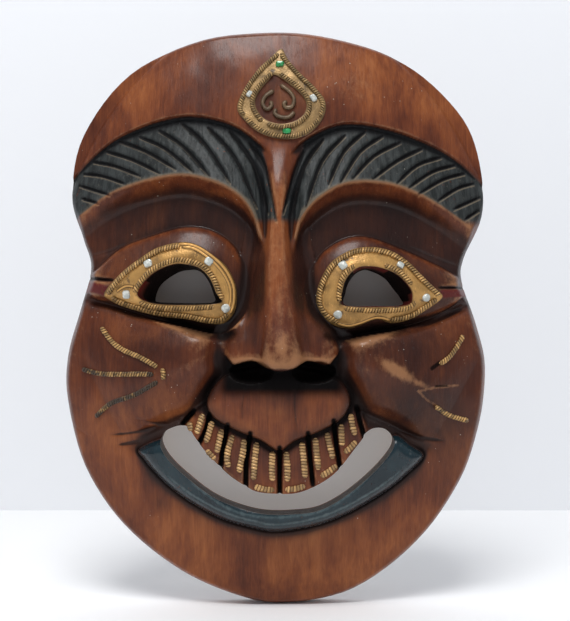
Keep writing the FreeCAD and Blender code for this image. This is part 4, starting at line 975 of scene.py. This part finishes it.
# ---- materials ----------------------------------------------------------------------------------
class Nodes:
    """Short hand for building a node material."""

    def __init__(self, name):
        self.material = bpy.data.materials.new(name)
        self.material.use_nodes = True
        self.tree = self.material.node_tree
        self.shader = self.tree.nodes["Principled BSDF"]

    def put(self, socket, value):
        if isinstance(value, bpy.types.NodeSocket):
            self.tree.links.new(value, socket)
        else:
            socket.default_value = value

    def math(self, operation, a, b=0.0, clamped=False):
        node = self.tree.nodes.new("ShaderNodeMath")
        node.operation = operation
        node.use_clamp = clamped
        self.put(node.inputs[0], a)
        self.put(node.inputs[1], b)
        return node.outputs[0]

    def plus(self, a, b):
        return self.math("ADD", a, b)

    def times(self, a, b):
        return self.math("MULTIPLY", a, b)

    def centred(self, a):
        return self.math("SUBTRACT", a, 0.5)

    def ramp(self, value, low, high, start=0.0, end=1.0):
        node = self.tree.nodes.new("ShaderNodeMapRange")
        node.interpolation_type = "SMOOTHSTEP"
        for socket, given in zip(node.inputs, (value, low, high, start, end)):
            self.put(socket, given)
        return node.outputs[0]

    def mix(self, share, a, b):
        node = self.tree.nodes.new("ShaderNodeMix")
        node.data_type = "RGBA"
        self.put(node.inputs[0], share)
        self.put(node.inputs[6], a if isinstance(a, bpy.types.NodeSocket) else (*a, 1))
        self.put(node.inputs[7], b if isinstance(b, bpy.types.NodeSocket) else (*b, 1))
        return node.outputs[2]

    def stops(self, value, colours):
        node = self.tree.nodes.new("ShaderNodeValToRGB")
        elements = node.color_ramp.elements
        while len(elements) < len(colours):
            elements.new(0.5)
        for element, (position, colour) in zip(elements, colours):
            element.position = position
            element.color = (*colour, 1)
        self.put(node.inputs[0], value)
        return node.outputs[0]

    def place(self, stretch):
        """Place on the object, stretched."""
        mapping = self.tree.nodes.new("ShaderNodeMapping")
        mapping.inputs["Scale"].default_value = stretch
        self.put(mapping.inputs["Vector"], self.tree.nodes.new("ShaderNodeTexCoord").outputs["Object"])
        return mapping.outputs[0]

    def noise(self, scale, stretch=(1, 1, 1), detail=4.0, rough=0.55, twist=0.0):
        node = self.tree.nodes.new("ShaderNodeTexNoise")
        node.inputs["Scale"].default_value = scale
        node.inputs["Detail"].default_value = detail
        node.inputs["Roughness"].default_value = rough
        node.inputs["Distortion"].default_value = twist
        self.put(node.inputs["Vector"], self.place(stretch))
        return node.outputs[0]

    def cells(self, scale):
        node = self.tree.nodes.new("ShaderNodeTexVoronoi")
        node.inputs["Scale"].default_value = scale
        self.put(node.inputs["Vector"], self.place((1, 1, 1)))
        return node.outputs["Distance"]

    def paint(self, title):
        attribute = self.tree.nodes.new("ShaderNodeAttribute")
        attribute.attribute_name = title
        parts = self.tree.nodes.new("ShaderNodeSeparateColor")
        self.put(parts.inputs[0], attribute.outputs["Color"])
        return parts.outputs[0], parts.outputs[1], parts.outputs[2], attribute.outputs["Alpha"]

    def bump(self, value, strength, distance):
        node = self.tree.nodes.new("ShaderNodeBump")
        node.inputs["Strength"].default_value = strength
        node.inputs["Distance"].default_value = distance
        self.put(node.inputs["Height"], value)
        self.put(self.shader.inputs["Normal"], node.outputs[0])

    def surface(self, **values):
        for title, value in values.items():
            socket = self.shader.inputs[title.replace("_", " ")]
            if isinstance(value, tuple):
                value = (*value, 1)
            self.put(socket, value)
        return self.material


def wood_material():
    n = Nodes("stained_wood")
    cavity, wear_and_highlight, soot_and_shade, warm = n.paint("paint_a")
    brow, lip, red, black_and_shade = n.paint("paint_b")
    streaks = n.noise(1.0, (420, 200, 26), 5.0, 0.62, 0.5)
    fibres = n.noise(1.0, (1500, 700, 75), 3.0, 0.6)
    blotches = n.noise(34.0, (1.0, 1.0, 0.6), 4.0, 0.6, 0.5)
    scuffs = n.noise(420.0, (1, 1, 0.7), 4.0, 0.7)
    pores = n.ramp(n.noise(1.0, (2100, 900, 130), 1.0, 0.4), 0.34, 0.26)

    # stained wood: streaked and blotched, smoked in places with painted shade in the sockets and on the
    # nose's sides, dark with grime and painted shade in its hollows, rubbed pale on its ridges with painted
    # highlights on the nose and cheeks
    tone = n.plus(n.times(streaks, 0.34), n.times(blotches, 0.91))
    tone = n.plus(tone, n.times(n.centred(fibres), 0.18))
    tone = n.plus(tone, n.times(n.math("MAXIMUM", warm, 0.0), 0.13))
    base = n.stops(n.ramp(tone, 0.30, 1.00), (
        (0.0, (0.046, 0.0108, 0.0052)), (0.30, (0.092, 0.0225, 0.0090)), (0.55, (0.146, 0.038, 0.0130)),
        (0.78, (0.215, 0.061, 0.0185)), (1.0, (0.310, 0.102, 0.031))))
    # darkening from soot, and painted shade in the sockets, on the nose's sides, along the muzzle and under
    # the nose
    soot_and_shade_share = n.times(soot_and_shade, n.ramp(n.plus(blotches, n.times(streaks, 0.2)), 0.80, 0.40, 0.78, 1.0))
    base = n.mix(soot_and_shade_share, base, (0.021, 0.0068, 0.0048))
    # darker in the hollows: grime and painted shade
    dirt = n.times(n.ramp(cavity, 0.12, 0.85), 0.86)
    base = n.mix(dirt, base, (0.010, 0.0045, 0.0038))
    # paler where rubbed by handling, and where highlights are painted on the nose and cheeks
    rubbed_and_highlit = n.ramp(n.plus(wear_and_highlight, n.times(n.centred(scuffs), 0.9)), 0.12, 0.80)
    base = n.mix(n.times(rubbed_and_highlit, 0.62), base, (0.40, 0.19, 0.085))

    # painted over: slate brows, teal lip, red bands and black lines, with black painted shade in the creases,
    # folds, cuts and nostrils and painted shadow under the nose
    slate = n.mix(n.ramp(streaks, 0.38, 0.64), (0.018, 0.020, 0.0195), (0.042, 0.046, 0.045))
    slate = n.mix(n.ramp(scuffs, 0.56, 0.72, 0.0, 0.6), slate, (0.085, 0.082, 0.072))
    # paler where rubbed, and along the lower wall of each brow cut: painted highlight
    rubbed_and_highlit = n.ramp(n.plus(wear_and_highlight, n.times(scuffs, 0.6)), 0.55, 1.10, 0.0, 0.75)
    slate = n.mix(rubbed_and_highlit, slate, (0.150, 0.120, 0.085))
    # darker in the brow's hollows and cuts: grime and painted shade
    slate = n.mix(n.times(n.ramp(cavity, 0.12, 0.6), 0.85), slate, (0.006, 0.006, 0.007))
    base = n.mix(n.times(brow, n.ramp(scuffs, 0.26, 0.36)), base, slate)
    teal = n.mix(n.ramp(blotches, 0.38, 0.66), (0.002, 0.010, 0.015), (0.006, 0.022, 0.029))
    # paler where rubbed, and along the lip's middle: painted highlight
    rubbed_and_highlit = n.ramp(n.plus(wear_and_highlight, n.times(scuffs, 0.8)), 0.55, 1.05, 0.0, 0.65)
    teal = n.mix(rubbed_and_highlit, teal, (0.10, 0.135, 0.14))
    base = n.mix(n.times(lip, n.ramp(scuffs, 0.28, 0.38, 0.55, 1.0)), base, teal)
    base = n.mix(n.times(red, n.ramp(scuffs, 0.33, 0.46)), base, (0.110, 0.015, 0.013))
    # black paint, and black painted shade in creases, nostrils and under the nose
    base = n.mix(black_and_shade, base, (0.0045, 0.0036, 0.0036))

    # unstained wood of the back, where warm is negative
    raw = n.stops(n.plus(n.times(streaks, 0.8), n.times(fibres, 0.3)), (
        (0.35, (0.20, 0.105, 0.048)), (0.55, (0.33, 0.19, 0.092)), (0.75, (0.46, 0.29, 0.15))))
    raw = n.mix(n.ramp(blotches, 0.52, 0.75, 0.0, 0.7), raw, (0.10, 0.048, 0.024))
    bare = n.ramp(warm, -0.4, -0.6)
    base = n.mix(bare, base, raw)

    # pale flecks of dust and plaster
    flecks = n.ramp(n.cells(330.0), 0.095, 0.06)
    flecks = n.times(flecks, n.ramp(n.noise(45.0, (1, 1, 1), 2.0), 0.55, 0.64))
    flecks = n.times(flecks, n.ramp(black_and_shade, 0.4, 0.1, 0.0, 0.8))
    base = n.mix(flecks, base, (0.55, 0.50, 0.42))

    rough = n.plus(0.38, n.times(n.centred(scuffs), 0.35))
    rough = n.plus(rough, n.times(n.plus(cavity, bare), 0.25))
    rough = n.math("SUBTRACT", rough, n.times(lip, 0.19), True)
    grain = n.plus(n.times(streaks, 0.6), n.times(fibres, 0.35))
    grain = n.plus(grain, n.times(scuffs, 0.25))
    n.bump(n.math("SUBTRACT", grain, n.times(pores, 0.5)), 0.55, 0.0006)
    shine = n.plus(n.ramp(brow, 0.0, 1.0, 0.13, 0.11), n.times(lip, 0.20))
    shine = n.times(shine, n.ramp(n.math("MAXIMUM", black_and_shade, red), 0.3, 1.0, 1.0, 0.25))
    unvarnished = n.math("MAXIMUM", n.math("MAXIMUM", black_and_shade, bare), brow)
    varnish = n.times(n.ramp(unvarnished, 0.0, 0.8, 0.26, 0.0), n.ramp(scuffs, 0.30, 0.50, 0.4, 1.0))
    return n.surface(Base_Color=base, Roughness=rough, Specular_IOR_Level=shine, Coat_Weight=varnish,
                     Coat_Roughness=0.2)


def bead_material(name, gold, notch_shade, metal=0.55):
    n = Nodes(name)
    notch, chance, soil, _ = n.paint("paint_a")
    patches = n.noise(260.0, detail=3.0)
    grime = n.noise(900.0, detail=2.0)
    tone = n.plus(n.times(patches, 0.6), n.times(chance, 0.5))
    base = n.mix(n.ramp(tone, 0.38, 0.72), [0.55 * c for c in gold], [1.25 * c for c in gold])
    # painted shade in the notches between beads and on the strip's low sides
    base = n.mix(n.ramp(notch, 0.66, 0.20), base, notch_shade)
    worn = n.plus(soil, n.times(n.centred(patches), 1.3))
    lost = n.ramp(worn, 0.40, 0.62, 0.0, 0.93)
    base = n.mix(lost, base, (0.022, 0.013, 0.009))
    n.bump(grime, 0.25, 0.0002)
    shine = n.times(n.ramp(lost, 0.2, 0.8, metal, 0.0), n.ramp(notch, 0.1, 0.6, 0.15, 1.0))
    return n.surface(Base_Color=base, Metallic=shine, Roughness=n.ramp(grime, 0.3, 0.7, 0.28, 0.52))


def plate_material(name, gold, metal=0.6):
    n = Nodes(name)
    edge, dent, fold, _ = n.paint("paint_a")
    patches = n.noise(75.0, detail=5.0, rough=0.65, twist=0.6)
    grain = n.noise(1200.0, detail=2.0)
    base = n.stops(n.plus(n.times(patches, 0.75), n.times(dent, 0.25)), (
        (0.30, [0.30 * c for c in gold]), (0.46, [0.75 * c for c in gold]), (0.60, gold),
        (0.75, [min(1.0, 1.35 * c) for c in gold])))
    scratch = n.ramp(n.noise(1.0, (2600, 300, 420), 2.0), 0.62, 0.70, 0.0, 0.55)
    base = n.mix(scratch, base, [min(1.0, 1.8 * c) for c in gold])
    stain = n.ramp(n.noise(210.0, detail=3.0), 0.60, 0.72, 0.0, 0.75)
    base = n.mix(stain, base, (0.035, 0.018, 0.009))
    base = n.mix(n.ramp(edge, 0.45, 0.0, 0.0, 0.6), base, (0.05, 0.025, 0.012))
    # dark at the foot of each pressed fold: painted shade; paler on its top: painted highlight
    base = n.mix(n.ramp(fold, 0.02, 0.22, 0.0, 0.7), base, (0.06, 0.028, 0.010))
    base = n.mix(n.ramp(fold, 0.30, 0.60, 0.0, 0.9), base, [min(1.0, 1.35 * c) for c in gold])
    n.bump(n.plus(grain, n.times(patches, 1.6)), 0.35, 0.0004)
    return n.surface(Base_Color=base, Metallic=n.ramp(stain, 0.0, 0.6, metal, 0.1),
                     Roughness=n.ramp(patches, 0.35, 0.7, 0.50, 0.30))


def glass_material(name, pale, deep, speck):
    n = Nodes(name)
    cloud = n.noise(520.0, detail=3.0)
    base = n.mix(n.ramp(cloud, 0.40, 0.66), deep, pale)
    base = n.mix(n.ramp(n.noise(1900.0, detail=1.0), 0.66, 0.72, 0.0, 0.5), base, speck)
    n.bump(cloud, 0.2, 0.0003)
    return n.surface(Base_Color=base, Roughness=n.ramp(cloud, 0.3, 0.7, 0.08, 0.24), Specular_IOR_Level=0.6,
                     Coat_Weight=0.6, Coat_Roughness=0.05)


def steel_material(name, pale, dull, rust, share):
    n = Nodes(name)
    spangle = n.noise(320.0, detail=4.0)
    rolled = n.noise(1.0, (90, 2400, 2400), 2.0)
    base = n.mix(n.ramp(spangle, 0.35, 0.65), dull, pale)
    spots = n.ramp(n.noise(480.0, detail=4.0, rough=0.7), share, share + 0.08)
    base = n.mix(spots, base, rust)
    n.bump(n.plus(rolled, n.times(spangle, 0.4)), 0.15, 0.0002)
    return n.surface(Base_Color=base, Metallic=n.ramp(spots, 0.0, 1.0, 0.95, 0.1),
                     Roughness=n.ramp(spangle, 0.3, 0.7, 0.28, 0.46))


wood = wood_material()
gilt_bead = bead_material("gilt_bead", (0.50, 0.30, 0.110), (0.030, 0.014, 0.006), 0.35)
tooth_gilt = bead_material("tooth_gilt_bead", (0.52, 0.31, 0.125), (0.13, 0.065, 0.026), 0.25)
crest_gilt = bead_material("crest_gilt_bead", (0.36, 0.23, 0.095), (0.028, 0.015, 0.008), 0.30)
gilt_plate = plate_material("gilt_plate", (0.52, 0.285, 0.085), 0.45)
crest_sheet = plate_material("crest_gilt_plate", (0.335, 0.205, 0.078), 0.4)
putty = plate_material("worn_scroll_gilt", (0.145, 0.090, 0.045), 0.25)
white_glass = glass_material("cloudy_white_glass", (0.70, 0.71, 0.65), (0.44, 0.46, 0.42), (0.26, 0.21, 0.14))
green_glass = glass_material("green_glass", (0.012, 0.30, 0.075), (0.004, 0.14, 0.03), (0.10, 0.42, 0.18))
zinc = steel_material("yellowed_zinc", (0.66, 0.61, 0.48), (0.47, 0.43, 0.34), (0.22, 0.11, 0.05), 0.66)
brad_steel = steel_material("brad_steel", (0.60, 0.60, 0.61), (0.42, 0.42, 0.43), (0.16, 0.07, 0.03), 0.58)


# ---- pieces -------------------------------------------------------------------------------------
def adopt(piece, slot_name, *nodes):
    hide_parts(*nodes)
    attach(piece, "root")


adopt(build_body(wood), "carved_wood", "mask_body")

# folds pressed into the eye plates: (line, rise, width)
EYE_FOLDS = {
    "left": [([(-49, 36.2), (-41, 35.3), (-33, 30.8), (-26, 24.3), (-21.6, 16), (-21.2, 7.5), (-23, 1.5)],
              1.3, 0.62),
             ([(-47, 34.6), (-41, 33.7), (-34.2, 29.5), (-27.6, 23.2), (-23.4, 15.6), (-23, 8), (-24.6, 2.6)],
              1.0, 0.55),
             ([(-79.5, 12.6), (-75, 15.2), (-70.5, 15.0)], 0.8, 0.6)],
    "right": [([(29, -2.9), (35, -4.3), (41, -2.9), (49, -0.2), (56, -1.6)], 1.0, 0.6)],
}
for side, edge, hole in (("left", LEFT_PLATE, LEFT_EYE_HOLE), ("right", RIGHT_PLATE, RIGHT_EYE_HOLE)):
    piece = plate(side + "_eye_gilt", edge, hole[0], gilt_plate, EYE_FOLDS[side])
    adopt(piece, "gilt_plate", side + "_eye_plate")
adopt(plate("crest_gilt", CREST_PLATE, CREST_OPENING, crest_sheet, dents=0.14), "gilt_plate", "crest_plate")

# strips of beads, a little fuller than the frame's plain strips, whose widths set the centre lines
EYE_STRIP_WIDTH = 2.1
CREST_STRIP_WIDTH = 1.9
EYE_STYLE = dict(width=2.6, rise=1.75, pitch=1.4, dirt=0.10)
CREST_STYLE = dict(width=2.2, rise=1.6, pitch=1.25, dirt=0.2)
SCROLL_STYLE = dict(width=2.1, rise=1.7, pitch=None)
WHISKER_STYLE = dict(width=2.5, rise=1.6, pitch=1.35)
TOOTH_STYLE = dict(width=3.1, rise=1.25, pitch=1.6, slant=0.12, notch=0.55, waist=0.4, fullness=0.45,
                   dirt=0.05)

for (side, part_name), (points, turn) in EYE_BEADS.items():
    line = moved_line(points, turn * (0.5 * EYE_STRIP_WIDTH + GLUE_GAP))
    piece = bead_strip("%s_eye_beading_%s" % (side, part_name), line, plate_seat, gilt_bead, **EYE_STYLE)
    adopt(piece, "gilt_bead", "%s_eye_bead_%s" % (side, part_name))
for part_name, (points, turn) in CREST_BEADS.items():
    line = moved_line(points, turn * (0.5 * CREST_STRIP_WIDTH + GLUE_GAP))
    piece = bead_strip("crest_beading_" + part_name, line, plate_seat, crest_gilt, **CREST_STYLE)
    adopt(piece, "gilt_bead", "crest_bead_" + part_name)
for part_name, points in SCROLLS.items():
    piece = bead_strip("crest_ornament_" + part_name, moved_line(points, 0), wood_seat, putty, **SCROLL_STYLE)
    adopt(piece, "scroll", "crest_scroll_" + part_name)
for part_name, (points, dirt) in WHISKERS.items():
    line = moved_line(points, 0)
    piece = bead_strip(part_name + "_beading", line, wood_seat, gilt_bead, dirt=dirt, **WHISKER_STYLE)
    adopt(piece, "gilt_bead", part_name)
for part_name, points in TEETH.items():
    line = moved_line(points, 0)
    piece = bead_strip("tooth_%s_beading" % part_name, line, wood_seat, tooth_gilt, **TOOTH_STYLE)
    adopt(piece, "gilt_bead", "tooth_%s_strip" % part_name)
for side, chips in EYE_CHIPS.items():
    for number, (at, width, length, turn) in enumerate(chips, 1):
        piece = chip("%s_eye_glass_%d" % (side, number), at, width, length, turn, white_glass)
        adopt(piece, "white_chip", "%s_eye_chip_%d" % (side, number))
for part_name, (at, width, length, turn) in CREST_CHIPS.items():
    green = part_name in ("top", "bottom")
    piece = chip("crest_glass_" + part_name, at, width, length, turn, green_glass if green else white_glass)
    adopt(piece, "green_chip" if green else "white_chip", "crest_chip_" + part_name)
for node, steel in (("sawtooth_hanger", zinc), ("hanger_nails", brad_steel)):
    for material_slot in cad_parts[node].material_slots:
        material_slot.material = steel


# ---- stage --------------------------------------------------------------------------------------
def plain(name, colour, rough=0.9):
    n = Nodes(name)
    return n.surface(Base_Color=colour, Roughness=rough)


def sheet(name, corners, material):
    mesh = bpy.data.meshes.new(name)
    mesh.from_pydata(corners, [], [tuple(range(len(corners)))])
    mesh.materials.append(material)
    piece = bpy.data.objects.new(name, mesh)
    bpy.context.scene.collection.objects.link(piece)
    return piece


def one_sided(material):
    """Seen from its front only, so a view from behind looks past it."""
    tree = material.node_tree
    shader = tree.nodes["Principled BSDF"]
    output = tree.nodes["Material Output"]
    blend = tree.nodes.new("ShaderNodeMixShader")
    tree.links.new(tree.nodes.new("ShaderNodeNewGeometry").outputs["Backfacing"], blend.inputs[0])
    tree.links.new(shader.outputs[0], blend.inputs[1])
    tree.links.new(tree.nodes.new("ShaderNodeBsdfTransparent").outputs[0], blend.inputs[2])
    tree.links.new(blend.outputs[0], output.inputs[0])
    return material


FLOOR_Z = body_low.z
WALL_Y = 0.265
WALL_TOP = 2.5
ROOM_HALF = 3.0             # width, and depth in front
CARD_Y = 0.0015             # just behind the mask
# cards just behind the eye holes and the mouth, seen through them where the shaded wall would be; the eye
# card's darker grey is painted shade and the mouth card's glow is painted light: name, grey, glow, (half
# width, height) of the lower and upper edges
CARDS = (("eye_card", 0.62, 0.0, (84, -20), (84, 60)), ("mouth_card", 0.9, 0.15, (50.4, -118), (84, -20)))

floor = sheet("floor", [(-ROOM_HALF, -ROOM_HALF, FLOOR_Z), (ROOM_HALF, -ROOM_HALF, FLOOR_Z),
                        (ROOM_HALF, WALL_Y, FLOOR_Z), (-ROOM_HALF, WALL_Y, FLOOR_Z)],
              plain("floor_white", (0.97, 0.97, 0.97)))
wall = sheet("wall", [(-ROOM_HALF, WALL_Y, FLOOR_Z), (ROOM_HALF, WALL_Y, FLOOR_Z),
                      (ROOM_HALF, WALL_Y, WALL_TOP), (-ROOM_HALF, WALL_Y, WALL_TOP)],
             one_sided(plain("wall_white", (0.87, 0.88, 0.90))))
for card_name, shade, painted_glow, (lower_half, lower_v), (upper_half, upper_v) in CARDS:
    corners = ((-lower_half, lower_v), (lower_half, lower_v), (upper_half, upper_v), (-upper_half, upper_v))
    grey = plain(card_name + "_grey", (shade, shade, shade))
    shader = grey.node_tree.nodes["Principled BSDF"]
    shader.inputs["Emission Color"].default_value = (1, 1, 1, 1)
    # glow of the mouth card: painted light
    shader.inputs["Emission Strength"].default_value = painted_glow
    card = sheet(card_name, [(x * MM, CARD_Y, z * MM) for x, z in map(real, corners)], one_sided(grey))
    card.visible_shadow = False

world = bpy.data.worlds.new("room")
world.use_nodes = True
world.node_tree.nodes["Background"].inputs[0].default_value = (0.82, 0.86, 0.93, 1)
world.node_tree.nodes["Background"].inputs[1].default_value = 0.50
bpy.context.scene.world = world


def area_light(name, place, target, size, power, colour=(1, 1, 1)):
    lamp = bpy.data.lights.new(name, "AREA")
    lamp.size = size
    lamp.energy = power
    lamp.color = colour
    holder = bpy.data.objects.new(name, lamp)
    holder.location = place
    holder.rotation_euler = (Vector(target) - Vector(place)).to_track_quat("-Z", "Y").to_euler()
    bpy.context.scene.collection.objects.link(holder)


area_light("window", (-0.10, -0.60, 0.90), (0, 0, -0.10), 0.5, 10.5)

lens = bpy.data.cameras.new("camera")
lens.sensor_width = 36
lens.lens = 67.2
viewer = bpy.data.objects.new("camera", lens)
viewer.location = (0.00383, -0.600, (3.32 - HANG_HEIGHT) * MM * UP)
viewer.rotation_euler = (math.pi / 2, 0, 0)
bpy.context.scene.collection.objects.link(viewer)
bpy.context.scene.camera = viewer
bpy.context.scene.view_settings.view_transform = "Standard"
